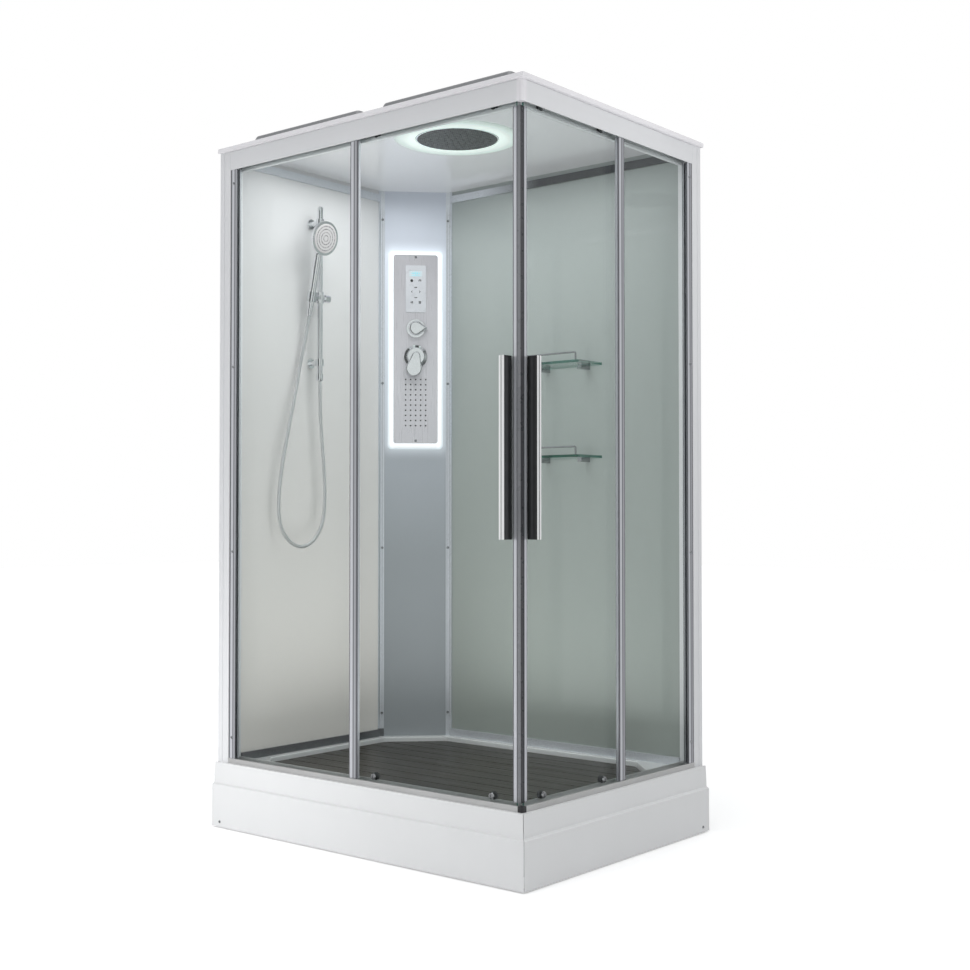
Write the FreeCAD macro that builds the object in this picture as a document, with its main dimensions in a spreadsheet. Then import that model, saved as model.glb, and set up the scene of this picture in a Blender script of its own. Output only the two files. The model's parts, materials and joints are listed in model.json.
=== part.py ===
import FreeCAD
import Part
import Sketcher
import math
import os

# Driving dimensions in millimetres, angles in degrees.
SIZES = {
    # plan and levels
    "plan_x": 1200,
    "plan_y": 900,
    "rim_level": 194,
    "frame_height": 1856,
    "rim_setback": 18,
    "frame_setback": 24,
    # tray, deck and aprons
    "tray_wall": 6,
    "basin_depth": 44,
    "basin_wall_margin": 30,
    "basin_rail_margin": 60,
    "basin_corner": 90,
    "basin_back_corner": 125,
    "rim_round": 4,
    "deck_gap": 6,
    "batten_height": 10,
    "batten_width": 40,
    "plank_height": 20,
    "plank_pitch": 73,
    "plank_gap": 5,
    "apron_wall": 4,
    "apron_floor_gap": 4,
    "apron_ledge_level": 129,
    "apron_lean": 3,
    "apron_foot_inset": 2.3,
    "apron_ledge_step": 8,
    "apron_ledge_rise": 4,
    "apron_flange": 14,
    "apron_round": 3,
    "apron_seam": 1.4,
    "apron_screw_inset": 36,
    "apron_screw_level": 19,
    "mitre_gap": 0.4,
    # support frame, feet and waste
    "tube_size": 30,
    "tube_wall": 2,
    "frame_reach_x": 476,
    "frame_reach_y": 300,
    "foot_radius": 25,
    "foot_height": 12,
    "foot_rod_radius": 6,
    "foot_nut_radius": 11,
    "foot_nut_height": 9,
    "waste_x": 120,
    "waste_y": 60,
    "waste_hole_radius": 46,
    "trap_depth": 78,
    "outlet_radius": 20,
    "outlet_wall": 2,
    "spigot_length": 40,
    # frame profiles
    "post_width": 48,
    "post_depth": 50,
    "post_wall": 2.5,
    "post_groove_width": 8,
    "post_groove_depth": 1.2,
    "post_round": 3,
    "header_height": 56,
    "header_depth": 46,
    "header_wall": 3,
    "header_round": 2,
    "groove_lip": 2,
    "groove_depth": 30,
    "corner_size": 18,
    "corner_round": 14,
    "rail_height": 15,
    "rail_wall": 3,
    "rail_lip_height": 12,
    "rail_round": 1.2,
    "rail_corner_size": 16,
    "jamb_width": 28,
    "jamb_lip": 6,
    "jamb_web": 8,
    "stile_width": 30,
    "stile_lip": 3,
    "stile_slot": 12,
    # glass, doors and rollers
    "glass_thickness": 5,
    "seat_gap": 0.3,
    "fixed_inset": 8,
    "door_inset": 26,
    "front_opening": 588,
    "side_opening": 440,
    "door_overlap": 30,
    "door_foot_gap": 8,
    "door_head_gap": 26,
    "door_stile_lead": 35,
    "door_stile_width": 13,
    "door_stile_lip": 3.5,
    "door_stile_web": 4,
    "door_stile_gap": 3,
    "magnet_depth": 10,
    "magnet_gap": 0.3,
    "draught_width": 12,
    "draught_thickness": 1,
    "draught_gap": 0.5,
    "track_inset": 36,
    "bead_width": 3,
    "bead_height": 4,
    "rail_bead_height": 16,
    "run_gap": 0.3,
    "wheel_groove_radius": 8,
    "wheel_radius": 10.5,
    "wheel_width": 7,
    "axle_radius": 3,
    "axle_clearance": 0.05,
    "hole_clearance": 0.2,
    "hanger_cap_radius": 9,
    "hanger_cap_depth": 4,
    "hanger_socket_radius": 3.5,
    "hanger_socket_depth": 1.8,
    "roller_lead": 121,
    "roller_trail": 75,
    # door grips
    "grip_lead": 55,
    "grip_width": 17.5,
    "grip_proud": 5,
    "grip_inner_depth": 3,
    "grip_length": 471,
    "grip_level": 1114,
    "grip_groove_width": 4,
    "grip_groove_depth": 1.5,
    # walls and column
    "wall_thickness": 6,
    "wall_setback": 39,
    "column_leg": 168,
    "column_joint": 2,
    "trim_depth": 8,
    "trim_foot_height": 24,
    "trim_head_height": 24,
    "trim_head_drop": 14,
    "corner_trim_face": 14,
    "corner_trim_wall": 10,
    "corner_trim_sheet": 2.5,
    "screw_radius": 4.5,
    "screw_top_radius": 2.8,
    "screw_height": 2.4,
    "screw_level_low": 272,
    "screw_level_step": 560,
    # roof and rain head
    "roof_edge": 14,
    "roof_plate": 6,
    "roof_lip": 10,
    "roof_overhang": 11,
    "roof_round": 4,
    "cover_height": 32,
    "cover_sheet": 3,
    "cover_slope": 23.6,
    "cover_corner": 14,
    "cover_round": 8,
    "cover_left_start": 120,
    "cover_left_length": 463,
    "cover_right_start": 653,
    "cover_right_length": 479,
    "cover_front_inset": 22,
    "cover_back_inset": 70,
    "rain_x": 85,
    "rain_y": -107,
    "rain_radius": 120,
    "rain_rim": 3,
    "rain_drop": 6,
    "rain_thickness": 5,
    "rain_stem_radius": 10,
    "rain_nozzle_radius": 1.6,
    "rain_nozzle_pitch": 19.5,
    "nozzle_height": 1.2,
    "ring_gap": 4,
    "ring_radius": 185,
    "ring_thickness": 5,
    # shower panel on the column
    "panel_width": 150,
    "panel_height": 641,
    "panel_depth": 22,
    "panel_sheet": 2,
    "panel_level": 1507,
    "panel_round": 8,
    "halo_width": 19,
    "halo_depth": 12,
    "halo_round": 14,
    "control_width": 69,
    "control_height": 160,
    "control_level": 1711,
    "control_face": 2.5,
    "control_back": 14,
    "control_rebate": 4,
    "key_radius": 5,
    "key_height": 0.6,
    "jet_pitch_across": 17,
    "jet_pitch_up": 17.4,
    "jet_level": 1246,
    "jet_radius": 2.4,
    "jet_play": 0.2,
    "jet_proud": 1.5,
    "jet_mat_thickness": 6,
    "jet_mat_margin": 8,
    "diverter_radius": 31,
    "diverter_height": 24,
    "diverter_flange": 4,
    "diverter_grip_radius": 24,
    "diverter_tip": 40,
    "knob_round": 7,
    "mixer_level": 1480,
    "diverter_rise": 96,
    "mixer_radius": 39,
    "mixer_height": 22,
    "paddle_radius": 26.5,
    "paddle_drop": 43,
    "paddle_shift": 8,
    "lever_thickness": 10,
    "lever_end_radius": 14,
    "ball_radius": 6,
    "lever_pin_radius": 1.5,
    "lever_round": 4,
    "spindle_radius": 9,
    "diverter_spindle_radius": 7,
    "spindle_reach": 8,
    "valve_width": 110,
    "valve_depth": 50,
    "valve_bar": 44,
    "valve_barrel_radius": 27,
    "inlet_radius": 10.48,
    "inlet_length": 18,
    "inlet_spacing": 70,
    # riser rail, slider and handset
    "riser_off": 45,
    "riser_y": -90,
    "riser_foot": 1395,
    "riser_length": 535,
    "riser_radius": 9,
    "riser_wall": 1,
    "bracket_high": 1882,
    "bracket_low": 1431,
    "bracket_radius": 16,
    "bracket_collar": 22,
    "outlet_nut_height": 24,
    "slider_level": 1639,
    "slider_height": 36,
    "slider_radius": 13,
    "holder_offset": 36,
    "holder_height": 32,
    "holder_radius": 16,
    "pivot_radius": 5,
    "handset_lean": 12.5,
    "handset_reach": 188,
    "handset_head_radius": 54,
    "handset_face_radius": 46,
    "handset_nozzle_radius": 1,
    "handset_nozzle_pitch": 9.6,
    "hose_radius": 6,
    # shelves
    "shelf_x": 112,
    "shelf_width": 265,
    "shelf_depth": 125,
    "shelf_thickness": 8,
    "shelf_high": 1413,
    "shelf_low": 1121,
    "shelf_round": 22,
    "gallery_rise": 25,
    "gallery_radius": 3,
    "gallery_inset": 14,
    "gallery_end": 22,
    "gallery_bend": 6,
    "clip_width": 16,
    "clip_depth": 46,
    "clip_height": 12,
    "clip_spacing": 156,
}
JETS_ACROSS = 5
JETS_UP = 10
SCREW_ROWS = 4
FEET_X = (-1, 0, 1)
FEET_Y = (-1, 1)
RAIN_RINGS = 5
HANDSET_RINGS = 4
NOZZLES_PER_RING = 6

doc = FreeCAD.newDocument("shower_cabin")
sheet = doc.addObject("Spreadsheet::Sheet", "dims")
for row, (alias, amount) in enumerate(SIZES.items(), 1):
    sheet.set(f"A{row}", alias)
    sheet.set(f"B{row}", str(amount))
    sheet.setAlias(f"B{row}", alias)
doc.recompute()

Vector = FreeCAD.Vector
SLANT = math.sqrt(0.5)
DIAGONAL = math.sqrt(2)


def text_of(value):
    return value.text if isinstance(value, Size) else repr(float(value))


def number_of(value):
    return value.number if isinstance(value, Size) else float(value)


class Size:
    """A length that carries its number and the sheet formula it comes from."""

    def __init__(self, text, number):
        self.text = text
        self.number = number

    def __add__(self, other):
        return Size(f"({self.text} + {text_of(other)})", self.number + number_of(other))

    def __radd__(self, other):
        return Size(f"({text_of(other)} + {self.text})", number_of(other) + self.number)

    def __sub__(self, other):
        return Size(f"({self.text} - {text_of(other)})", self.number - number_of(other))

    def __rsub__(self, other):
        return Size(f"({text_of(other)} - {self.text})", number_of(other) - self.number)

    def __mul__(self, other):
        return Size(f"({self.text} * {text_of(other)})", self.number * number_of(other))

    def __rmul__(self, other):
        return Size(f"({text_of(other)} * {self.text})", number_of(other) * self.number)

    def __truediv__(self, other):
        return Size(f"({self.text} / {text_of(other)})", self.number / number_of(other))

    def __neg__(self):
        return Size(f"(0 - {self.text})", -self.number)


def root(size):
    return Size(f"sqrt({size.text})", math.sqrt(size.number))


class Sheet:
    """The sheet's sizes as attributes."""

    def __getattr__(self, alias):
        return Size(f"dims.{alias}", float(getattr(sheet, alias)))


d = Sheet()

# Derived lines and levels.
half_x = d.plan_x / 2
half_y = d.plan_y / 2
rim_x = half_x - d.rim_setback
rim_y = -half_y + d.rim_setback
face_x = half_x - d.frame_setback
face_y = -half_y + d.frame_setback
wall_x = -half_x + d.wall_setback + d.wall_thickness
wall_y = half_y - d.wall_setback - d.wall_thickness
header_top = d.rim_level + d.frame_height
header_base = header_top - d.header_height
rail_top = d.rim_level + d.rail_height
basin_floor = d.rim_level - d.basin_depth
tray_base = basin_floor - d.tray_wall
roof_deck = header_top + d.roof_plate
panel_face = d.halo_depth + d.panel_depth
riser_x = wall_x + d.riser_off
column_half = d.column_leg * SLANT
column_x = wall_x + d.column_leg / 2
column_y = wall_y - d.column_leg / 2
diverter_level = d.mixer_level + d.diverter_rise

RUN = {"front": d.plan_x - d.frame_setback, "side": d.plan_y - d.frame_setback}
OPENING = {"front": d.front_opening, "side": d.side_opening}
TURNS = {
    "X": FreeCAD.Rotation(Vector(0, 1, 0), 90),
    "-X": FreeCAD.Rotation(Vector(0, 1, 0), -90),
    "Y": FreeCAD.Rotation(Vector(1, 0, 0), -90),
    "-Y": FreeCAD.Rotation(Vector(1, 0, 0), 90),
    "Z": FreeCAD.Rotation(),
    "-Z": FreeCAD.Rotation(Vector(1, 0, 0), 180),
}
NODES = {}


def bind(thing, prop, value):
    thing.setExpression(prop, text_of(value))


def place(thing, spot, turn=None):
    """Bind a placement's base to the sheet, after setting its turn."""
    if turn is not None:
        thing.Placement = FreeCAD.Placement(Vector(), turn)
    for axis, value in zip("xyz", spot):
        bind(thing, "Placement.Base." + axis, value)
    return thing


def node(label, thing):
    thing.Label = label
    NODES[label] = thing
    return thing


def box(name, x, y, z):
    """A block between two bounds on each axis."""
    solid = doc.addObject("Part::Box", name)
    for edge, (low, high) in zip(("Length", "Width", "Height"), (x, y, z)):
        bind(solid, edge, high - low)
    return place(solid, (x[0], y[0], z[0]))


def rod(name, radius, spot, way, length):
    """A cylinder from a spot along a main direction."""
    solid = doc.addObject("Part::Cylinder", name)
    bind(solid, "Radius", radius)
    bind(solid, "Height", length)
    return place(solid, spot, TURNS[way])


def screw(name, spot, way):
    """A button head standing on a face."""
    solid = doc.addObject("Part::Cone", name)
    bind(solid, "Radius1", d.screw_radius)
    bind(solid, "Radius2", d.screw_top_radius)
    bind(solid, "Height", d.screw_height)
    return place(solid, spot, TURNS[way])


def group(name, pieces):
    result = doc.addObject("Part::Compound", name)
    result.Links = list(pieces)
    return result


def cut(name, base, tools):
    result = doc.addObject("Part::Cut", name)
    result.Base = base
    result.Tool = tools[0] if len(tools) == 1 else group(name + "_tools", tools)
    return result


def fuse(name, pieces):
    result = doc.addObject("Part::MultiFuse", name)
    result.Shapes = list(pieces)
    return result


def common(name, base, tool):
    result = doc.addObject("Part::MultiCommon", name)
    result.Shapes = [base, tool]
    return result


def new_body(name):
    return doc.addObject("PartDesign::Body", name)


def plane_sketch(body, name, plane, lift):
    """An empty sketch on one of the body's own origin planes, lifted along its normal."""
    sketch = body.newObject("Sketcher::SketchObject", name)
    base = [part for part in body.Origin.OriginFeatures if part.Role == plane][0]
    sketch.AttachmentSupport = [(base, "")]
    sketch.MapMode = "FlatFace"
    bind(sketch, "AttachmentOffset.Base.z", lift)
    return sketch


def hold(sketch, rules):
    """Add constraints and bind those whose value is a size."""
    first = sketch.ConstraintCount
    sketch.addConstraint([Sketcher.Constraint(*rule[:-1], number_of(rule[-1])) for rule in rules])
    for index, rule in enumerate(rules, first):
        if isinstance(rule[-1], Size):
            sketch.setExpression(f"Constraints[{index}]", rule[-1].text)


def loop_sketch(body, name, plane, loops, lift=0):
    """Closed loops of straight lines with every corner bound to the sheet."""
    sketch = plane_sketch(body, name, plane, lift)
    for loop in loops:
        first = sketch.GeometryCount
        count = len(loop)
        spots = [Vector(number_of(a), number_of(b), 0) for a, b in loop]
        sketch.addGeometry([Part.LineSegment(p, q) for p, q in zip(spots, spots[1:] + spots[:1])])
        for i in range(count):
            sketch.addConstraint(Sketcher.Constraint("Coincident", first + i, 2, first + (i + 1) % count, 1))
        across = [("DistanceX", -1, 1, first + i, 1, a) for i, (a, b) in enumerate(loop)]
        upward = [("DistanceY", -1, 1, first + i, 1, b) for i, (a, b) in enumerate(loop)]
        hold(sketch, across + upward)
    return sketch


def circle_sketch(body, name, plane, circles, lift=0):
    """Circles given as centre and radius."""
    sketch = plane_sketch(body, name, plane, lift)
    for index, (a, b, radius) in enumerate(circles):
        spot = Vector(number_of(a), number_of(b), 0)
        sketch.addGeometry(Part.Circle(spot, Vector(0, 0, 1), number_of(radius)))
        hold(
            sketch,
            [
                ("DistanceX", -1, 1, index, 3, a),
                ("DistanceY", -1, 1, index, 3, b),
                ("Radius", index, radius),
            ],
        )
    return sketch


def pad(body, sketch, length, back=False):
    feature = body.newObject("PartDesign::Pad", sketch.Name + "_pad")
    feature.Profile = sketch
    feature.Reversed = back
    bind(feature, "Length", length)
    return feature


def pocket(body, sketch, length, back=False):
    feature = body.newObject("PartDesign::Pocket", sketch.Name + "_pocket")
    feature.Profile = sketch
    feature.Reversed = back
    bind(feature, "Length", length)
    return feature


def round_edges(body, name, radius, chosen):
    """Fillet the edges of the body's tip that the test picks."""
    doc.recompute()
    tip = body.Tip
    edges = [f"Edge{i}" for i, edge in enumerate(tip.Shape.Edges, 1) if chosen(edge)]
    feature = body.newObject("PartDesign::Fillet", name)
    feature.Base = (tip, edges)
    bind(feature, "Radius", radius)
    return feature


def runs_along(edge, axis):
    """Whether a straight edge is parallel to an axis."""
    if len(edge.Vertexes) < 2 or edge.Curve.TypeId != "Part::GeomLine":
        return False
    way = edge.Vertexes[1].Point - edge.Vertexes[0].Point
    return abs(abs(way.normalize().dot(axis)) - 1) < 1e-6


def turned(name, profile):
    """A body turned about its own Z axis from a profile of radius and height."""
    body = new_body(name)
    sketch = loop_sketch(body, name + "_profile", "XZ_Plane", [profile])
    feature = body.newObject("PartDesign::Revolution", name + "_turn")
    feature.Profile = sketch
    feature.ReferenceAxis = (sketch, ["V_Axis"])
    feature.Angle = 360
    return body


def oblong(x, y):
    return [(x[0], y[0]), (x[1], y[0]), (x[1], y[1]), (x[0], y[1])]


def clipped_oblong(x, y, corner, back_right, back_left):
    """A rectangle with its corners cut off, the two back ones by legs of their own."""
    return [
        (x[0] + corner, y[0]),
        (x[1] - corner, y[0]),
        (x[1], y[0] + corner),
        (x[1], y[1] - back_right),
        (x[1] - back_right, y[1]),
        (x[0] + back_left, y[1]),
        (x[0], y[1] - back_left),
        (x[0], y[0] + corner),
    ]


def round_wire(points, bends, radius):
    """A round section carried along straight runs joined by tangent arcs; gives the solid and its path."""
    edges = []
    start = points[0]
    for before, corner, after, bend in zip(points, points[1:], points[2:], bends):
        toward = (before - corner).normalize()
        away = (after - corner).normalize()
        half_turn = (math.pi - toward.getAngle(away)) / 2
        reach = bend * math.tan(half_turn)
        entry = corner + toward * reach
        leave = corner + away * reach
        middle = (toward + away).normalize()
        centre = corner + middle * (bend / math.cos(half_turn))
        edges.append(Part.LineSegment(start, entry).toShape())
        edges.append(Part.Arc(entry, centre - middle * bend, leave).toShape())
        start = leave
    edges.append(Part.LineSegment(start, points[-1]).toShape())
    path = Part.Wire(edges)
    ring = Part.Wire([Part.Circle(points[0], points[1] - points[0], radius).toShape()])
    return path.makePipeShell([ring], True, False), path


def own_shape(name, shape):
    feature = doc.addObject("Part::Feature", name)
    feature.Shape = shape
    return feature


# Pieces of the two glazed sides are placed by their distance along the frame from the outer corner
# and their depth behind the frame's outer face, so both sides share one description.
def plan_spot(side, along, depth):
    if side == "front":
        return face_x - along, face_y + depth
    return face_x - depth, face_y + along


def side_box(name, side, along, depth, level):
    if side == "front":
        y = (face_y + depth[0], face_y + depth[1])
        return box(name, (face_x - along[1], face_x - along[0]), y, level)
    return box(name, (face_x - depth[1], face_x - depth[0]), (face_y + along[0], face_y + along[1]), level)


def side_prism(name, side, loops, level):
    """An upright extrusion of plan outlines given as along and depth."""
    body = new_body(name)
    drawn = [[plan_spot(side, along, depth) for along, depth in loop] for loop in loops]
    pad(body, loop_sketch(body, name + "_plan", "XY_Plane", drawn), level[1] - level[0])
    return place(body, (0, 0, level[0]))


def side_rail(name, side, section, along):
    """A level extrusion of a section given as depth and level."""
    body = new_body(name)
    if side == "front":
        drawn = [(face_y + depth, level) for depth, level in section]
        pad(body, loop_sketch(body, name + "_section", "YZ_Plane", [drawn]), along[1] - along[0])
        return place(body, (face_x - along[1], 0, 0))
    drawn = [(face_x - depth, level) for depth, level in section]
    pad(body, loop_sketch(body, name + "_section", "XZ_Plane", [drawn]), along[1] - along[0])
    return place(body, (0, face_y + along[1], 0))


def upright_at(corners):
    """A test for the upright edges that stand on given plan points."""

    def chosen(edge):
        spot = edge.Vertexes[0].Point
        stands = any(abs(spot.x - x) + abs(spot.y - y) < 1e-6 for x, y in corners)
        return stands and runs_along(edge, Vector(0, 0, 1))

    return chosen


def inward(side):
    return "Y" if side == "front" else "-X"


def outward(side):
    return "-Y" if side == "front" else "X"


def profile_edges(side, lines):
    """A test for a side profile's level edges that lie at the given depths and levels."""
    plan = 1 if side == "front" else 0
    spots = [(number_of(plan_spot(side, 0, depth)[plan]), number_of(level)) for depth, level in lines]

    def chosen(edge):
        ends = [(v.Point[plan], v.Point.z) for v in edge.Vertexes]
        return any(all(abs(a - x) + abs(b - z) < 1e-6 for a, b in ends) for x, z in spots)

    return chosen


def mitred(name, side, solid, seam):
    """Cut the outer end of a side's profile on the diagonal through the corner."""
    reach = 150
    gap = seam / 2
    block = doc.addObject("Part::Box", name + "_mitre")
    block.Length = reach
    block.Width = 2 * reach
    bind(block, "Height", header_top + d.roof_edge)
    turn = FreeCAD.Rotation(Vector(0, 0, 1), 45)
    if side == "front":
        place(block, (half_x + (reach - gap) * SLANT, -half_y - (reach + gap) * SLANT, 0), turn)
    else:
        place(block, (half_x + gap * SLANT, -half_y + (gap - 2 * reach) * SLANT, 0), turn)
    return cut(name, solid, [block])


def on_column(thing):
    """Stand a piece drawn about the column's own middle on the diagonal face."""
    return place(thing, (column_x, column_y, 0), FreeCAD.Rotation(Vector(0, 0, 1), 45))


# Shower tray: a moulded shell with a rim, a basin with clipped corners and a waste hole.
basin_x = (wall_x + d.basin_wall_margin, face_x - d.basin_rail_margin)
basin_y = (face_y + d.basin_rail_margin, wall_y - d.basin_wall_margin)
CLIP = 2 - DIAGONAL
basin_back_left = d.column_leg - d.basin_wall_margin * CLIP


def basin_outline(offset):
    """The basin's plan, moved outward by an offset."""
    return clipped_oblong(
        (basin_x[0] - offset, basin_x[1] + offset),
        (basin_y[0] - offset, basin_y[1] + offset),
        d.basin_corner + offset * CLIP,
        d.basin_back_corner + offset * CLIP,
        basin_back_left + offset * CLIP,
    )


tray = new_body("shower_tray")
rim_outline = oblong((-half_x, rim_x), (rim_y, half_y))
rim_inside = oblong((-half_x + d.tray_wall, rim_x - d.tray_wall), (rim_y + d.tray_wall, half_y - d.tray_wall))
tray_height = d.basin_depth + d.tray_wall
pad(tray, loop_sketch(tray, "tray_outline", "XY_Plane", [rim_outline]), tray_height)
pocket(tray, loop_sketch(tray, "tray_basin", "XY_Plane", [basin_outline(0)], tray_height), d.basin_depth)
hollow = loop_sketch(tray, "tray_hollow", "XY_Plane", [rim_inside, basin_outline(d.tray_wall)])
pocket(tray, hollow, d.basin_depth, back=True)
waste_ring = [(d.waste_x, d.waste_y, d.waste_hole_radius)]
pocket(tray, circle_sketch(tray, "tray_waste", "XY_Plane", waste_ring), d.tray_wall, back=True)
tray_top = number_of(tray_height)
round_edges(
    tray,
    "tray_rim_round",
    d.rim_round,
    lambda edge: all(abs(v.Point.z - tray_top) < 1e-6 for v in edge.Vertexes),
)
node("shower_tray", place(tray, (0, 0, tray_base)))

# Aprons: thin fronts with a ledge, hung from the rim and mitred at the corner.
inset = d.frame_setback
foot = d.apron_foot_inset - inset
apron_section = [
    (foot, d.apron_floor_gap),
    (d.apron_lean - inset, d.apron_ledge_level),
    (d.apron_lean + d.apron_ledge_step - inset, d.apron_ledge_level + d.apron_ledge_rise),
    (d.rim_setback - d.apron_wall - inset, d.rim_level),
    (d.rim_setback - inset, d.rim_level),
    (d.apron_lean + d.apron_ledge_step + d.apron_wall - inset, d.apron_ledge_level + d.apron_ledge_rise - 1),
    (d.apron_lean + d.apron_wall - inset, d.apron_ledge_level - 2),
    (foot + d.apron_wall, d.apron_floor_gap + d.apron_wall),
    (foot + d.apron_wall + d.apron_flange, d.apron_floor_gap + d.apron_wall),
    (foot + d.apron_wall + d.apron_flange, d.apron_floor_gap),
]
for side in RUN:
    blank = side_rail(side + "_apron_blank", side, apron_section, (-inset, RUN[side]))
    ledge_edges = profile_edges(side, apron_section[1:3])
    round_edges(blank, side + "_apron_ledge_round", d.apron_round, ledge_edges)
    node(side + "_apron", mitred(side + "_apron", side, blank, d.apron_seam))

# Floor deck: planks laid along the front and clipped to the basin, on three battens.
deck_outline = basin_outline(-d.deck_gap)
deck_x = (basin_x[0] + d.deck_gap, basin_x[1] - d.deck_gap)
deck_y = (basin_y[0] + d.deck_gap, basin_y[1] - d.deck_gap)
plank_level = basin_floor + d.batten_height
deck_pieces = []
plank_count = math.ceil(number_of(deck_y[1] - deck_y[0]) / number_of(d.plank_pitch))
for index in range(plank_count):
    back = deck_y[1] - d.plank_pitch * index
    front = back - d.plank_pitch + d.plank_gap
    if number_of(back - deck_y[0]) < 2 * number_of(d.plank_gap):
        continue
    slab = new_body(f"deck_slab_{index}")
    pad(slab, loop_sketch(slab, f"deck_plan_{index}", "XY_Plane", [deck_outline]), d.plank_height)
    place(slab, (0, 0, plank_level))
    strip = box(f"deck_strip_{index}", deck_x, (front, back), (plank_level, plank_level + d.plank_height))
    deck_pieces.append(common(f"deck_plank_{index}", slab, strip))
for index, share in enumerate((0.25, 0.5, 0.75)):
    middle = deck_x[0] * (1 - share) + deck_x[1] * share
    batten_x = (middle - d.batten_width / 2, middle + d.batten_width / 2)
    batten_y = (deck_y[0] + d.plank_gap, deck_y[1] - d.plank_gap)
    deck_pieces.append(box(f"deck_batten_{index}", batten_x, batten_y, (basin_floor, plank_level)))
node("floor_deck", group("floor_deck", deck_pieces))

# Support frame of square tubes under the basin, and levelling feet.
tube_low = tray_base - d.tube_size
half_tube = d.tube_size / 2
tubes = []


def square_tube(name, way, start, length):
    """A hollow square tube along X or Y, given by the middle of its starting end."""
    body = new_body(name)
    outer = oblong((-half_tube, half_tube), (-half_tube, half_tube))
    bore = half_tube - d.tube_wall
    inner = oblong((-bore, bore), (-bore, bore))
    plane = "YZ_Plane" if way == "X" else "XZ_Plane"
    pad(body, loop_sketch(body, name + "_section", plane, [outer, inner]), length, back=way == "Y")
    return place(body, start)


tube_level = tray_base - half_tube
for index, sign in enumerate((-1, 1)):
    start = (-d.frame_reach_x - d.tube_size, d.frame_reach_y * sign, tube_level)
    tubes.append(square_tube(f"long_tube_{index}", "X", start, d.frame_reach_x * 2 + d.tube_size * 2))
    cross = (d.frame_reach_x * sign * 0.8, -d.frame_reach_y + half_tube, tube_level)
    tubes.append(square_tube(f"cross_tube_{index}", "Y", cross, d.frame_reach_y * 2 - d.tube_size))
node("support_frame", group("support_frame", tubes))

feet = []
for column in FEET_X:
    for line in FEET_Y:
        name = f"foot_{column + 1}_{(line + 1) // 2}"
        profile = [
            (0, 0),
            (d.foot_radius, 0),
            (d.foot_radius, d.foot_height / 2),
            (d.foot_rod_radius * 2, d.foot_height),
            (d.foot_rod_radius, d.foot_height),
            (d.foot_rod_radius, tube_low),
            (0, tube_low),
        ]
        nut = doc.addObject("Part::Prism", name + "_nut")
        nut.Polygon = 6
        bind(nut, "Circumradius", d.foot_nut_radius)
        bind(nut, "Height", d.foot_nut_height)
        place(nut, (0, 0, tube_low - d.foot_nut_height))
        levelling_foot = fuse(name, [turned(name + "_stem", profile), nut])
        feet.append(place(levelling_foot, (d.frame_reach_x * column, d.frame_reach_y * line, 0)))
node("levelling_feet", group("levelling_feet", feet))

# Waste trap: a cup under the basin with a level outlet, clamped by a strainer flange above.
trap_rim = d.waste_hole_radius + 6
trap_profile = [
    (0, -d.trap_depth),
    (d.waste_hole_radius, -d.trap_depth),
    (d.waste_hole_radius, -8),
    (trap_rim, -8),
    (trap_rim, 0),
    (d.waste_hole_radius - 3, 0),
    (d.waste_hole_radius - 3, 3 - d.trap_depth),
    (0, 3 - d.trap_depth),
]
trap_cup = place(turned("trap_cup", trap_profile), (d.waste_x, d.waste_y, tray_base))
outlet_level = tray_base - d.trap_depth + d.outlet_radius + 4
outlet_start = (d.waste_x, d.waste_y + d.waste_hole_radius - 5, outlet_level)
outlet_length = half_y - d.waste_y - d.waste_hole_radius - 5
pipe_length = outlet_length - d.spigot_length
outlet_pipe = rod("trap_outlet_pipe", d.outlet_radius + d.outlet_wall, outlet_start, "Y", pipe_length)
outlet_spigot = rod("trap_outlet_spigot", d.outlet_radius, outlet_start, "Y", outlet_length)
outlet_bore = rod("trap_outlet_bore", d.outlet_radius - d.outlet_wall, outlet_start, "Y", outlet_length)
trap = cut("trap_body", fuse("trap_blank", [trap_cup, outlet_pipe, outlet_spigot]), [outlet_bore])
strainer_profile = [
    (d.waste_hole_radius - 16, 0),
    (d.waste_hole_radius - 1, 0),
    (d.waste_hole_radius - 1, d.tray_wall),
    (d.waste_hole_radius + 10, d.tray_wall),
    (d.waste_hole_radius + 10, d.tray_wall + 3),
    (d.waste_hole_radius - 16, d.tray_wall + 3),
]
strainer = place(turned("trap_strainer", strainer_profile), (d.waste_x, d.waste_y, tray_base))
node("waste_trap", group("waste_trap", [trap, strainer]))

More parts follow.
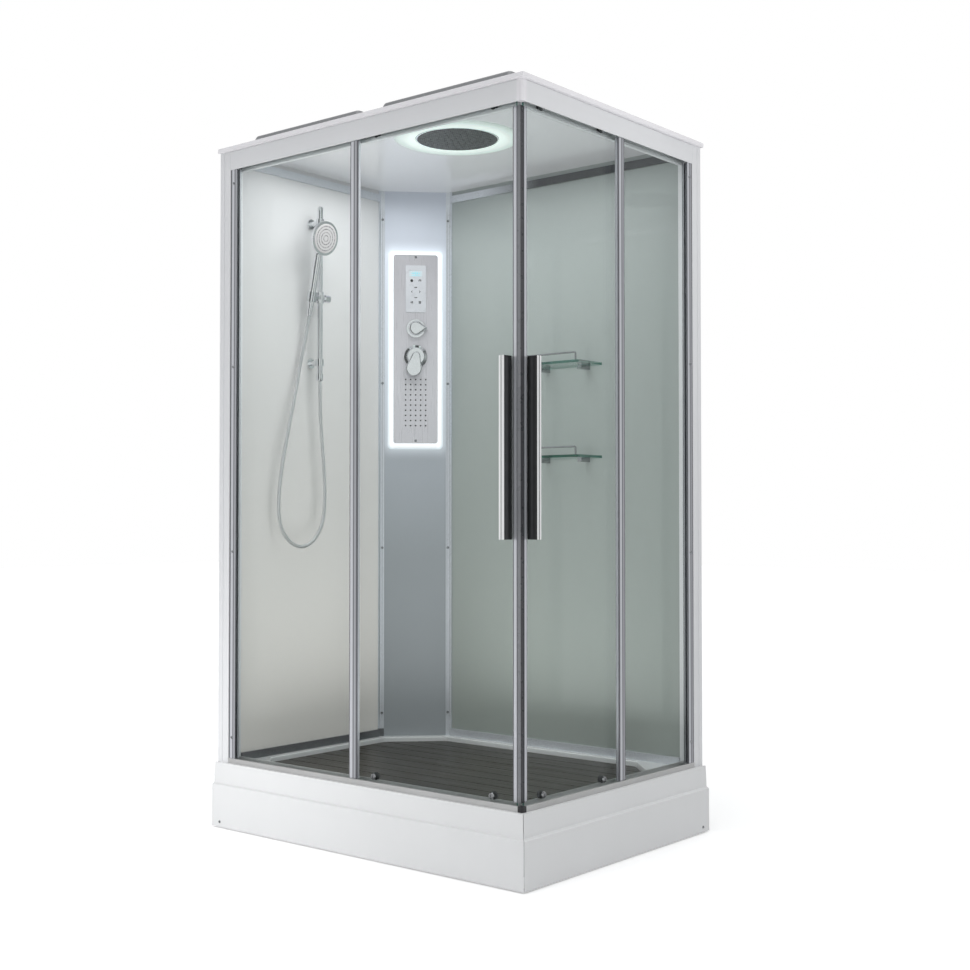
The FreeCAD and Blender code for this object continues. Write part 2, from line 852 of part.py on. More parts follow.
# White wall posts with a shallow front groove, and the bright channels of the fixed panels.
slot_near = d.fixed_inset - d.seat_gap
slot_far = d.fixed_inset + d.glass_thickness + d.seat_gap
glass_back = d.fixed_inset + d.glass_thickness
posts = []
channels = []
panes = []
for side, run in RUN.items():
    post_near = run - d.post_width
    post_middle = run - d.post_width / 2
    groove = (post_middle - d.post_groove_width / 2, post_middle + d.post_groove_width / 2)
    shell = [
        (post_near, 0),
        (groove[0], 0),
        (groove[0], d.post_groove_depth),
        (groove[1], d.post_groove_depth),
        (groove[1], 0),
        (run, 0),
        (run, d.post_depth),
        (post_near, d.post_depth),
    ]
    bore = oblong((post_near + d.post_wall, run - d.post_wall), (d.post_wall, d.post_depth - d.post_wall))
    post = side_prism(side + "_post", side, [shell, bore], (d.rim_level, header_top))
    corners = [[number_of(value) for value in plan_spot(side, along, 0)] for along in (post_near, run)]
    round_edges(post, side + "_post_round", d.post_round, upright_at(corners))
    posts.append(post)

    jamb_near = post_near - d.jamb_width
    slot_end = post_near - d.jamb_web
    channel = [
        (jamb_near, d.fixed_inset - d.jamb_lip),
        (post_near, d.fixed_inset - d.jamb_lip),
        (post_near, glass_back + d.jamb_lip),
        (jamb_near, glass_back + d.jamb_lip),
        (jamb_near, slot_far),
        (slot_end, slot_far),
        (slot_end, slot_near),
        (jamb_near, slot_near),
    ]
    channels.append(side_prism(side + "_jamb", side, [channel], (rail_top, header_base)))

    stile_near = OPENING[side]
    stile_end = stile_near + d.stile_width
    slot_start = stile_end - d.stile_slot
    channel = [
        (stile_near, d.fixed_inset - d.stile_lip),
        (stile_end, d.fixed_inset - d.stile_lip),
        (stile_end, slot_near),
        (slot_start, slot_near),
        (slot_start, slot_far),
        (stile_end, slot_far),
        (stile_end, glass_back + d.stile_lip),
        (stile_near, glass_back + d.stile_lip),
    ]
    channels.append(side_prism(side + "_fixed_stile", side, [channel], (rail_top, header_base)))

    pane_along = (slot_start + d.seat_gap, slot_end - d.seat_gap)
    pane_level = (d.rim_level + d.rail_wall, header_top - d.header_wall - d.seat_gap)
    panes.append(side_box(side + "_fixed_pane", side, pane_along, (d.fixed_inset, glass_back), pane_level))
node("wall_posts", group("wall_posts", posts))
node("glass_channels", group("glass_channels", channels))
node("fixed_glass", group("fixed_glass", panes))

# Headers and bottom rails: grooves for the fixed glass and a bead on which the rollers run.
bead = (d.track_inset - d.bead_width / 2, d.track_inset + d.bead_width / 2)
bead_top = header_base + d.header_wall + d.bead_height
lip_near = slot_near - d.groove_lip
lip_far = slot_far + d.groove_lip
web = header_top - d.header_wall
lip_foot = header_top - d.groove_depth
header_section = [
    (0, header_base),
    (0, header_top),
    (d.header_depth, header_top),
    (d.header_depth, header_base),
    (bead[0], header_base),
    (bead[0], bead_top),
    (bead[1], bead_top),
    (bead[1], header_base + d.header_wall),
    (d.header_depth - d.header_wall, header_base + d.header_wall),
    (d.header_depth - d.header_wall, web),
    (lip_far, web),
    (lip_far, lip_foot),
    (slot_far, lip_foot),
    (slot_far, web),
    (slot_near, web),
    (slot_near, lip_foot),
    (lip_near, lip_foot),
    (lip_near, web),
    (d.header_wall, web),
    (d.header_wall, header_base),
]
rail_floor = d.rim_level + d.rail_wall
rail_lip = d.rim_level + d.rail_lip_height
rail_bead_top = d.rim_level + d.rail_bead_height
rail_section = [
    (0, d.rim_level),
    (0, rail_top),
    (d.rail_wall, rail_top),
    (d.rail_wall, rail_floor),
    (lip_near, rail_floor),
    (lip_near, rail_lip),
    (slot_near, rail_lip),
    (slot_near, rail_floor),
    (slot_far, rail_floor),
    (slot_far, rail_lip),
    (lip_far, rail_lip),
    (lip_far, rail_floor),
    (bead[0], rail_floor),
    (bead[0], rail_bead_top),
    (bead[1], rail_bead_top),
    (bead[1], rail_floor),
    (d.header_depth, rail_floor),
    (d.header_depth, d.rim_level),
]


def corner_block(name, size, level):
    """A square block in the outer corner of the frame."""
    return box(name, (face_x - size, face_x), (face_y, face_y + size), level)


for side, run in RUN.items():
    span = (0, run - d.post_width)
    blank = side_rail(side + "_header_blank", side, header_section, span)
    fascia_edges = profile_edges(side, [(0, header_base), (0, header_top)])
    round_edges(blank, side + "_header_round", d.header_round, fascia_edges)
    mitre = mitred(side + "_header_mitre", side, blank, d.mitre_gap)
    room = corner_block(side + "_header_room", d.corner_size, (header_base, header_top))
    node(side + "_header", cut(side + "_header", mitre, [room]))
    blank = side_rail(side + "_rail_blank", side, rail_section, span)
    round_edges(blank, side + "_rail_round", d.rail_round, profile_edges(side, [(0, rail_top)]))
    mitre = mitred(side + "_rail_mitre", side, blank, d.mitre_gap)
    room = corner_block(side + "_rail_room", d.rail_corner_size, (d.rim_level, rail_top))
    node(side + "_bottom_rail", cut(side + "_bottom_rail", mitre, [room]))


def rounded_corner(label, size, level, radius):
    """The frame's outer corner piece, rounded on its outer upright edge."""
    body = new_body(label)
    drawn = oblong((face_x - size, face_x), (face_y, face_y + size))
    pad(body, loop_sketch(body, label + "_plan", "XY_Plane", [drawn]), level[1] - level[0])
    round_edges(body, label + "_round", radius, upright_at([(number_of(face_x), number_of(face_y))]))
    return node(label, place(body, (0, 0, level[0])))


rounded_corner("header_corner", d.corner_size, (header_base, header_top), d.corner_round)
rounded_corner("rail_corner", d.rail_corner_size, (d.rim_level, rail_top), d.corner_round / 2)

# Sliding doors: glass on four axles, leading stile, seals, grip bars and grooved rollers.
door_back = d.door_inset + d.glass_thickness
door_middle = d.door_inset + d.glass_thickness / 2
door_level = (d.rim_level + d.door_foot_gap, header_top - d.door_head_gap)
edge_level = (rail_top + d.door_stile_gap, header_base - d.door_stile_gap)
grip_bounds = (d.grip_level - d.grip_length / 2, d.grip_level + d.grip_length / 2)
roller_level = {
    "top": bead_top + d.wheel_groove_radius + d.run_gap,
    "bottom": rail_bead_top + d.wheel_groove_radius + d.run_gap,
}
wheel_near = d.track_inset - d.wheel_width / 2
wheel_far = d.track_inset + d.wheel_width / 2
side_play = 0.15
groove_half = d.bead_width / 2 + 0.4
groove_mouth = groove_half + 0.8
wheel_bore = d.axle_radius + d.axle_clearance
wheel_profile = [
    (wheel_bore, -d.wheel_width / 2),
    (d.wheel_radius, -d.wheel_width / 2),
    (d.wheel_radius, -groove_mouth),
    (d.wheel_groove_radius, -groove_half),
    (d.wheel_groove_radius, groove_half),
    (d.wheel_radius, groove_mouth),
    (d.wheel_radius, d.wheel_width / 2),
    (wheel_bore, d.wheel_width / 2),
]
hanger_profile = [
    (0, d.hanger_socket_depth - d.hanger_cap_depth),
    (d.hanger_socket_radius, d.hanger_socket_depth - d.hanger_cap_depth),
    (d.hanger_socket_radius, -d.hanger_cap_depth),
    (d.hanger_cap_radius - 1.5, -d.hanger_cap_depth),
    (d.hanger_cap_radius, 1.5 - d.hanger_cap_depth),
    (d.hanger_cap_radius, 0),
    (d.axle_radius, 0),
    (d.axle_radius, d.glass_thickness),
    (d.axle_radius + 2, d.glass_thickness),
    (d.axle_radius + 2, wheel_near - side_play - d.door_inset),
    (d.axle_radius, wheel_near - side_play - d.door_inset),
    (d.axle_radius, wheel_far + side_play - d.door_inset),
    (d.axle_radius + 1.5, wheel_far + side_play - d.door_inset),
    (d.axle_radius + 1.5, wheel_far + 1.2 - d.door_inset),
    (0, wheel_far + 1.2 - d.door_inset),
]
for side in RUN:
    door = side + "_door"
    trail = OPENING[side] + d.door_overlap
    stations = {"lead": d.roller_lead, "trail": trail - d.roller_trail}

    pane_start = d.door_stile_lead + d.door_stile_web + d.seat_gap
    pane = side_box(door + "_pane", side, (pane_start, trail), (d.door_inset, door_back), door_level)
    holes = []
    hangers = []
    for row, level in roller_level.items():
        for station, along in stations.items():
            mark = f"{side}_{row}_{station}"
            x, y = plan_spot(side, along, d.door_inset)
            hole_radius = d.axle_radius + d.hole_clearance
            hole_spot = (*plan_spot(side, along, d.door_inset - 1), level)
            hole = rod(mark + "_hole", hole_radius, hole_spot, inward(side), d.glass_thickness + 2)
            holes.append(hole)
            hanger = turned(mark + "_hanger", hanger_profile)
            hangers.append(place(hanger, (x, y, level), TURNS[inward(side)]))
            x, y = plan_spot(side, along, d.track_inset)
            wheel = turned(mark + "_roller", wheel_profile)
            node(mark + "_roller", place(wheel, (x, y, level), TURNS[inward(side)]))
    node(door + "_glass", cut(door + "_glass", pane, holes))
    node(door + "_hangers", group(door + "_hangers", hangers))

    lead = d.door_stile_lead
    lead_end = lead + d.door_stile_width
    slot_start = lead + d.door_stile_web
    channel = [
        (lead, d.door_inset - d.door_stile_lip),
        (lead_end, d.door_inset - d.door_stile_lip),
        (lead_end, d.door_inset - d.seat_gap),
        (slot_start, d.door_inset - d.seat_gap),
        (slot_start, door_back + d.seat_gap),
        (lead_end, door_back + d.seat_gap),
        (lead_end, door_back + d.door_stile_lip),
        (lead, door_back + d.door_stile_lip),
    ]
    node(door + "_stile", side_prism(door + "_stile", side, [channel], edge_level))

    near = door_middle - d.magnet_depth / 2
    far = door_middle + d.magnet_depth / 2
    magnet = [(lead, near), (near + d.magnet_gap, near), (far + d.magnet_gap, far), (lead, far)]
    fin = trail - d.draught_width / 4
    strip = d.door_inset - d.draught_thickness
    tip = glass_back + d.stile_lip + d.draught_gap
    draught = [
        (trail - d.draught_width, d.door_inset),
        (trail, d.door_inset),
        (trail, strip),
        (fin, strip),
        (fin, tip),
        (fin - d.draught_thickness, tip),
        (fin - d.draught_thickness, strip),
        (trail - d.draught_width, strip),
    ]
    seals = [
        side_prism(door + "_magnet", side, [magnet], edge_level),
        side_prism(door + "_draught", side, [draught], edge_level),
    ]
    node(door + "_seal", group(door + "_seal", seals))

    grip = (d.grip_lead, d.grip_lead + d.grip_width)
    middle = d.grip_lead + d.grip_width / 2
    groove = (middle - d.grip_groove_width / 2, middle + d.grip_groove_width / 2)
    bar = [
        (grip[0], -d.grip_proud),
        (groove[0], -d.grip_proud),
        (groove[0], d.grip_groove_depth - d.grip_proud),
        (groove[1], d.grip_groove_depth - d.grip_proud),
        (groove[1], -d.grip_proud),
        (grip[1], -d.grip_proud),
        (grip[1], d.door_inset),
        (grip[0], d.door_inset),
    ]
    bars = [
        side_prism(door + "_outer_grip", side, [bar], grip_bounds),
        side_box(door + "_inner_grip", side, grip, (door_back, door_back + d.grip_inner_depth), grip_bounds),
    ]
    node(door + "_handle", group(door + "_handle", bars))

# Wall panels and the diagonal column between them.
joint = d.column_joint
left_y = (face_y + d.post_depth, wall_y - d.column_leg - joint)
back_x = (wall_x + d.column_leg + joint, face_x - d.post_depth)
wall_level = (d.rim_level, header_top)
node("left_wall_panel", box("left_wall_panel", (-half_x + d.wall_setback, wall_x), left_y, wall_level))
node("back_wall_panel", box("back_wall_panel", back_x, (wall_y, half_y - d.wall_setback), wall_level))
column_sheet = box("column_sheet", (-column_half, column_half), (0, d.wall_thickness), wall_level)
SPINDLES = {
    "mixer": (d.mixer_level, d.spindle_radius),
    "diverter": (diverter_level, d.diverter_spindle_radius),
}
column_holes = []
for name, (level, radius) in SPINDLES.items():
    column_holes.append(rod(f"column_{name}_hole", radius + 3, (0, -1, level), "Y", d.wall_thickness + 2))
node("column_panel", on_column(cut("column_panel", column_sheet, column_holes)))

# Bright wall trims: level strips at foot and head, and bent strips over the column's joints.
sheet_trim = d.corner_trim_sheet
foot_level = (d.rim_level, d.rim_level + d.trim_foot_height)
head_end = header_top - d.trim_head_drop
head_level = (head_end - d.trim_head_height, head_end)
left_end = wall_y - d.column_leg - d.corner_trim_wall
back_start = wall_x + d.column_leg + d.corner_trim_wall
trims = []
for name, level in (("foot", foot_level), ("head", head_level)):
    trims.append(box(f"left_{name}_trim", (wall_x, wall_x + d.trim_depth), (left_y[0], left_end), level))
    trims.append(box(f"back_{name}_trim", (back_start, back_x[1]), (wall_y - d.trim_depth, wall_y), level))
lap = d.corner_trim_face * SLANT
rise = sheet_trim * SLANT
lean = sheet_trim * (DIAGONAL - 1)
corner = (wall_x, wall_y - d.column_leg)
left_bend = [
    corner,
    (corner[0] + lap, corner[1] + lap),
    (corner[0] + lap + rise, corner[1] + lap - rise),
    (corner[0] + sheet_trim, corner[1] - lean),
    (corner[0] + sheet_trim, corner[1] - d.corner_trim_wall),
    (corner[0], corner[1] - d.corner_trim_wall),
]
corner = (wall_x + d.column_leg, wall_y)
back_bend = [
    corner,
    (corner[0] + d.corner_trim_wall, corner[1]),
    (corner[0] + d.corner_trim_wall, corner[1] - sheet_trim),
    (corner[0] + lean, corner[1] - sheet_trim),
    (corner[0] - lap + rise, corner[1] - lap - rise),
    (corner[0] - lap, corner[1] - lap),
]
for name, drawn in (("left", left_bend), ("back", back_bend)):
    body = new_body(name + "_corner_trim")
    pad(body, loop_sketch(body, name + "_corner_plan", "XY_Plane", [drawn]), wall_level[1] - wall_level[0])
    trims.append(place(body, (0, 0, wall_level[0])))
node("wall_trims", group("wall_trims", trims))

# Screws of the jambs, column trims, aprons and shower panel.
screws = []
column_screws = []
for row in range(SCREW_ROWS):
    level = d.screw_level_low + d.screw_level_step * row
    for side, run in RUN.items():
        spot = plan_spot(side, run - d.post_width - d.jamb_width / 2, d.fixed_inset - d.jamb_lip)
        screws.append(screw(f"{side}_jamb_screw_{row}", (*spot, level), outward(side)))
    for name, sign in (("left", -1), ("right", 1)):
        x = (column_half - d.corner_trim_face / 2) * sign
        column_screws.append(screw(f"column_{name}_screw_{row}", (x, -sheet_trim, level), "-Y"))
for side, run in RUN.items():
    rise = d.apron_screw_level - d.screw_radius - d.apron_floor_gap
    lean = (d.apron_lean - d.apron_foot_inset) / (d.apron_ledge_level - d.apron_floor_gap)
    depth = foot + lean * rise
    spot = plan_spot(side, run - d.apron_screw_inset, depth)
    screws.append(screw(side + "_apron_screw", (*spot, d.apron_screw_level), outward(side)))
for row, sign in enumerate((-1, 1)):
    level = d.panel_level + (d.panel_height / 2 - 8) * sign
    column_screws.append(screw(f"panel_screw_{row}", (0, -panel_face, level), "-Y"))
screws.append(on_column(group("column_screws", column_screws)))
node("frame_screws", group("frame_screws", screws))

# Roof panel with an upstanding edge, and two raised covers.
roof = new_body("roof_panel")
roof_x = (-half_x, face_x + d.roof_overhang)
roof_y = (face_y - d.roof_overhang, half_y)
pad(roof, loop_sketch(roof, "roof_outline", "XY_Plane", [oblong(roof_x, roof_y)]), d.roof_edge)
roof_well = oblong(
    (roof_x[0] + d.roof_lip, roof_x[1] - d.roof_lip),
    (roof_y[0] + d.roof_lip, roof_y[1] - d.roof_lip),
)
pocket(roof, loop_sketch(roof, "roof_well", "XY_Plane", [roof_well], d.roof_edge), d.roof_edge - d.roof_plate)
rain_hole = [(d.rain_x, d.rain_y, d.rain_stem_radius + 0.5)]
pocket(roof, circle_sketch(roof, "roof_rain_hole", "XY_Plane", rain_hole), d.roof_plate, back=True)
edge_x = [number_of(value) for value in roof_x]
edge_y = [number_of(value) for value in roof_y]


def on_roof_edge(edge):
    """Whether an edge lies on the roof's outer top rim."""
    spots = [v.Point for v in edge.Vertexes]
    if any(abs(spot.z - number_of(d.roof_edge)) > 1e-6 for spot in spots):
        return False
    return any(all(abs(p.x - x) < 1e-6 for p in spots) for x in edge_x) or any(
        all(abs(p.y - y) < 1e-6 for p in spots) for y in edge_y
    )


round_edges(roof, "roof_edge_round", d.roof_round, on_roof_edge)
node("roof_panel", place(roof, (0, 0, header_top)))


covers = []
cover_y = (roof_y[0] + d.cover_front_inset, roof_y[1] - d.cover_back_inset)
COVERS = {
    "left": (d.cover_left_start, d.cover_left_length),
    "right": (d.cover_right_start, d.cover_right_length),
}
cover_rise = number_of(d.cover_height)
for name, (start, length) in COVERS.items():
    body = new_body(name + "_cover")
    cover_x = (-half_x + start, -half_x + start + length)
    cover_plan = loop_sketch(body, name + "_cover_plan", "XY_Plane", [oblong(cover_x, cover_y)])
    bind(pad(body, cover_plan, d.cover_height), "TaperAngle", -d.cover_slope)

    def climbs(edge):
        return abs(edge.Vertexes[1].Point.z - edge.Vertexes[0].Point.z) > 1

    def on_top(edge):
        return all(abs(v.Point.z - cover_rise) < 1e-6 for v in edge.Vertexes)

    round_edges(body, name + "_cover_corners", d.cover_corner, climbs)
    round_edges(body, name + "_cover_round", d.cover_round, on_top)
    room_x = (cover_x[0] + d.cover_sheet, cover_x[1] - d.cover_sheet)
    room_y = (cover_y[0] + d.cover_sheet, cover_y[1] - d.cover_sheet)
    room = clipped_oblong(room_x, room_y, d.cover_corner, d.cover_corner, d.cover_corner)
    hollow = loop_sketch(body, name + "_cover_room", "XY_Plane", [room])
    bind(pocket(body, hollow, d.cover_height - d.cover_sheet, back=True), "TaperAngle", -d.cover_slope)
    covers.append(place(body, (0, 0, roof_deck)))
node("roof_covers", group("roof_covers", covers))


def nozzle_rings(body, name, lift, pitch, radius, count, down):
    """Rings of small round nozzles about the body's own Z axis."""
    for ring in range(1, count + 1):
        sketch = circle_sketch(body, f"{name}_ring_{ring}", "XY_Plane", [(pitch * ring, 0, radius)], lift)
        nozzle = pad(body, sketch, d.nozzle_height, back=down)
        pattern = body.newObject("PartDesign::PolarPattern", f"{name}_pattern_{ring}")
        pattern.Originals = [nozzle]
        pattern.Axis = (sketch, ["N_Axis"])
        pattern.Angle = 360
        pattern.Occurrences = NOZZLES_PER_RING * ring
        body.Tip = pattern


# Rain head on its stem through the roof, its spray face, and the light ring round it.
rain_spot = (d.rain_x, d.rain_y, header_top)
spray_radius = d.rain_radius - d.rain_rim
spray_seat = d.rain_thickness / 2 - d.rain_drop
rain_profile = [
    (0, spray_seat),
    (spray_radius + 0.5, spray_seat),
    (spray_radius + 0.5, -d.rain_drop),
    (d.rain_radius, -d.rain_drop),
    (d.rain_radius, d.rain_thickness / 2 - d.rain_drop),
    (d.rain_radius - d.rain_rim, d.rain_thickness - d.rain_drop),
    (d.rain_stem_radius, d.rain_thickness - d.rain_drop),
    (d.rain_stem_radius, d.roof_plate + 16),
    (0, d.roof_plate + 16),
]
rain_nut_profile = [
    (d.rain_stem_radius + 0.1, d.roof_plate),
    (d.rain_stem_radius + 7, d.roof_plate),
    (d.rain_stem_radius + 7, d.roof_plate + 7),
    (d.rain_stem_radius + 0.1, d.roof_plate + 7),
]
rain_parts = [turned("rain_housing", rain_profile), turned("rain_nut", rain_nut_profile)]
node("rain_head", group("rain_head", [place(part, rain_spot) for part in rain_parts]))
spray_profile = [
    (0, spray_seat),
    (0, -d.rain_drop - 1),
    (spray_radius - 2, -d.rain_drop - 1),
    (spray_radius, 1 - d.rain_drop),
    (spray_radius, spray_seat),
]
rain_face = turned("rain_head_face", spray_profile)
rain_nozzles = (d.rain_nozzle_pitch, d.rain_nozzle_radius, RAIN_RINGS)
nozzle_rings(rain_face, "rain_nozzle", -d.rain_drop - 1, *rain_nozzles, down=True)
node("rain_head_face", place(rain_face, rain_spot))
ring_bore = d.rain_radius + d.ring_gap
ring_profile = [
    (ring_bore, 0),
    (ring_bore, -d.ring_thickness),
    (d.ring_radius - d.ring_thickness, -d.ring_thickness),
    (d.ring_radius, -d.ring_thickness / 2),
    (d.ring_radius, 0),
]
node("light_ring", place(turned("light_ring", ring_profile), rain_spot))


# Shower panel on the column, drawn about the column's middle with its front towards -Y.
def face_oblong(width, height, level):
    return oblong((-width / 2, width / 2), (level - height / 2, level + height / 2))


def round_upright_corners(body, name, radius):
    """Round the edges that run straight out of the column face."""
    round_edges(body, name, radius, lambda edge: runs_along(edge, Vector(0, 1, 0)))


halo = new_body("panel_light")
halo_outline = face_oblong(d.panel_width + d.halo_width * 2, d.panel_height + d.halo_width * 2, d.panel_level)
pad(halo, loop_sketch(halo, "halo_outline", "XZ_Plane", [halo_outline]), d.halo_depth)
round_upright_corners(halo, "halo_round", d.halo_round)
halo_holes = [(0, level, radius + 3) for level, radius in SPINDLES.values()]
halo_cut = circle_sketch(halo, "halo_holes", "XZ_Plane", halo_holes, d.halo_depth)
pocket(halo, halo_cut, d.halo_depth)
node("panel_light", on_column(halo))

plate = new_body("shower_panel")
plate_outline = face_oblong(d.panel_width, d.panel_height, d.panel_level)
pad(plate, loop_sketch(plate, "plate_outline", "XZ_Plane", [plate_outline], d.halo_depth), d.panel_depth)
round_upright_corners(plate, "plate_round", d.panel_round)
plate_room = face_oblong(d.panel_width - d.panel_sheet * 2, d.panel_height - d.panel_sheet * 2, d.panel_level)
plate_hollow = loop_sketch(plate, "plate_room", "XZ_Plane", [plate_room], d.halo_depth)
pocket(plate, plate_hollow, d.panel_depth - d.panel_sheet, back=True)
window_width = d.control_width - d.control_rebate * 2
window_height = d.control_height - d.control_rebate * 2
window = face_oblong(window_width, window_height, d.control_level)
pocket(plate, loop_sketch(plate, "plate_window", "XZ_Plane", [window], panel_face), d.panel_sheet)
spindle_holes = [(0, level, radius + 3) for level, radius in SPINDLES.values()]
pocket(plate, circle_sketch(plate, "plate_spindles", "XZ_Plane", spindle_holes, panel_face), d.panel_sheet)
jet_columns = [d.jet_pitch_across * (index - (JETS_ACROSS - 1) / 2) for index in range(JETS_ACROSS)]
jet_holes = [(x, d.jet_level, d.jet_radius + d.jet_play) for x in jet_columns]


def repeat_upward(body, feature, sketch, pitch, count):
    """Repeat a feature in rows up the panel."""
    pattern = body.newObject("PartDesign::LinearPattern", feature.Name + "_rows")
    pattern.Originals = [feature]
    pattern.Direction = (sketch, ["V_Axis"])
    bind(pattern, "Length", pitch * (count - 1))
    pattern.Occurrences = count
    body.Tip = pattern


jet_sketch = circle_sketch(plate, "plate_jets", "XZ_Plane", jet_holes, panel_face)
jet_row = pocket(plate, jet_sketch, d.panel_sheet)
repeat_upward(plate, jet_row, jet_sketch, d.jet_pitch_up, JETS_UP)
node("shower_panel", on_column(plate))

mat = new_body("jet_mat")
jet_span = (d.jet_pitch_across * (JETS_ACROSS - 1), d.jet_pitch_up * (JETS_UP - 1))
mat_outline = face_oblong(
    jet_span[0] + d.jet_mat_margin * 2, jet_span[1] + d.jet_mat_margin * 2, d.jet_level + jet_span[1] / 2
)
mat_lift = panel_face - d.panel_sheet
pad(mat, loop_sketch(mat, "mat_outline", "XZ_Plane", [mat_outline], mat_lift), d.jet_mat_thickness, back=True)
nubs = [(x, d.jet_level, d.jet_radius) for x in jet_columns]
nub_sketch = circle_sketch(mat, "mat_nubs", "XZ_Plane", nubs, mat_lift)
nub_row = pad(mat, nub_sketch, d.panel_sheet + d.jet_proud)
repeat_upward(mat, nub_row, nub_sketch, d.jet_pitch_up, JETS_UP)
node("jet_mat", on_column(mat))

# Control unit: a bezel over the window with a sunk display and raised touch marks.
control = new_body("control_unit")
bezel = face_oblong(d.control_width, d.control_height, d.control_level)
pad(control, loop_sketch(control, "control_bezel", "XZ_Plane", [bezel], panel_face), d.control_face)
round_upright_corners(control, "control_round", d.panel_round / 2)
case = face_oblong(window_width - 1, window_height - 1, d.control_level)
pad(control, loop_sketch(control, "control_case", "XZ_Plane", [case], panel_face), d.control_back, back=True)
display_level = d.control_level + d.control_height * 0.325
display = face_oblong(d.control_width * 0.64, d.control_height * 0.13, display_level)
control_front = panel_face + d.control_face
pocket(control, loop_sketch(control, "control_display", "XZ_Plane", [display], control_front), 1)
KEY_PAIRS = ((-0.2, 0.174), (0.2, 0.174), (-0.2, -0.287), (0.2, -0.287))
KEY_RING = ((0, 0.032), (-0.2, -0.06), (0.2, -0.06), (0, -0.152))
keys = [
    (d.control_width * across, d.control_level + d.control_height * up, d.key_radius)
    for across, up in KEY_PAIRS + KEY_RING
]
pad(control, circle_sketch(control, "control_keys", "XZ_Plane", keys, control_front), d.key_height)
node("control_unit", on_column(control))

# Valve body behind the column with its spindles and two inlets to the rear corner.
valve_back = d.wall_thickness + d.valve_depth
valve_depths = (d.wall_thickness, valve_back)
half_bar = d.valve_bar / 2
cross_level = (d.mixer_level - half_bar, d.mixer_level + half_bar)
valve_pieces = [
    box("valve_cross_bar", (-d.valve_width / 2, d.valve_width / 2), valve_depths, cross_level),
    box("valve_upright_bar", (-half_bar, half_bar), valve_depths, (d.mixer_level, diverter_level)),
]
for name, (level, radius) in SPINDLES.items():
    barrel_spot = (0, d.wall_thickness, level)
    valve_pieces.append(rod(f"valve_{name}_barrel", d.valve_barrel_radius, barrel_spot, "Y", d.valve_depth))
    spindle_length = d.wall_thickness + panel_face + d.spindle_reach + 5
    spindle_spot = (0, d.wall_thickness + 5, level)
    valve_pieces.append(rod(f"valve_{name}_spindle", radius, spindle_spot, "-Y", spindle_length))
for name, sign in (("cold", 1), ("hot", -1)):
    spot = (d.inlet_spacing / 2 * sign, valve_back - 5, d.mixer_level)
    valve_pieces.append(rod(f"valve_{name}_inlet", d.inlet_radius, spot, "Y", d.inlet_length + 5))
node("valve_body", on_column(fuse("valve_body", valve_pieces)))

# Mixer hub and lever, and the diverter knob with its pointer.
gap = 0.3
fit = 0.05
web_low = d.spindle_reach + 0.5
ball_height = d.mixer_height - d.ball_radius / 2
socket_floor = ball_height - d.ball_radius - 0.4
socket = d.ball_radius + 0.4
hub_profile = [
    (d.spindle_radius + fit, gap),
    (d.mixer_radius, gap),
    (d.mixer_radius, 4.5),
    (d.mixer_radius * 0.8, 7),
    (d.mixer_radius * 0.7, d.mixer_height),
    (socket, d.mixer_height),
    (socket, socket_floor),
    (0, socket_floor),
    (0, web_low),
    (d.spindle_radius + fit, web_low),
]
hub = place(turned("mixer_hub_body", hub_profile), (0, -panel_face, d.mixer_level), TURNS["-Y"])
node("mixer_hub", on_column(group("mixer_hub", [hub])))

ball = doc.addObject("Part::Sphere", "lever_ball")
bind(ball, "Radius", d.ball_radius)
place(ball, (0, -panel_face - ball_height, d.mixer_level))
lever_back = d.mixer_height + 5
neck_start = (0, -panel_face - ball_height, d.mixer_level)
neck = rod("lever_neck", d.ball_radius - 2, neck_start, "-Y", lever_back - ball_height + 2)
lever_start = -panel_face - lever_back
pin_half = d.ball_radius
pin = rod("lever_pin", d.lever_pin_radius, (-pin_half, neck_start[1], d.mixer_level), "X", pin_half * 2)


def round_front(body, name, front, radius):
    """Round the edges of a knob's front face."""
    level = number_of(front)
    round_edges(body, name, radius, lambda edge: all(abs(v.Point.y + level) < 1e-6 for v in edge.Vertexes))


handle = new_body("lever_handle")
paddle_level = d.mixer_level - d.paddle_drop
lever_lift = panel_face + lever_back
reach = root(d.paddle_shift * d.paddle_shift + d.paddle_drop * d.paddle_drop)
toward = (-d.paddle_shift / reach, -d.paddle_drop / reach)
along = (d.lever_end_radius - d.paddle_radius) / reach
across = root(1 - along * along)
arm_outline = []
for sign, order in ((1, 1), (-1, -1)):
    normal_x = toward[0] * along - toward[1] * across * sign
    normal_z = toward[1] * along + toward[0] * across * sign
    ends = [
        (normal_x * d.lever_end_radius, d.mixer_level + normal_z * d.lever_end_radius),
        (normal_x * d.paddle_radius - d.paddle_shift, paddle_level + normal_z * d.paddle_radius),
    ]
    arm_outline += ends[::order]
pad(handle, loop_sketch(handle, "lever_arm", "XZ_Plane", [arm_outline], lever_lift), d.lever_thickness)
LEVER_ENDS = {
    "boss": (0, d.mixer_level, d.lever_end_radius),
    "paddle": (-d.paddle_shift, paddle_level, d.paddle_radius),
}
for name, circle in LEVER_ENDS.items():
    pad(handle, circle_sketch(handle, "lever_" + name, "XZ_Plane", [circle], lever_lift), d.lever_thickness)
round_front(handle, "lever_front_round", lever_lift + d.lever_thickness, d.lever_round)
node("mixer_lever", on_column(fuse("mixer_lever", [ball, neck, pin, handle])))

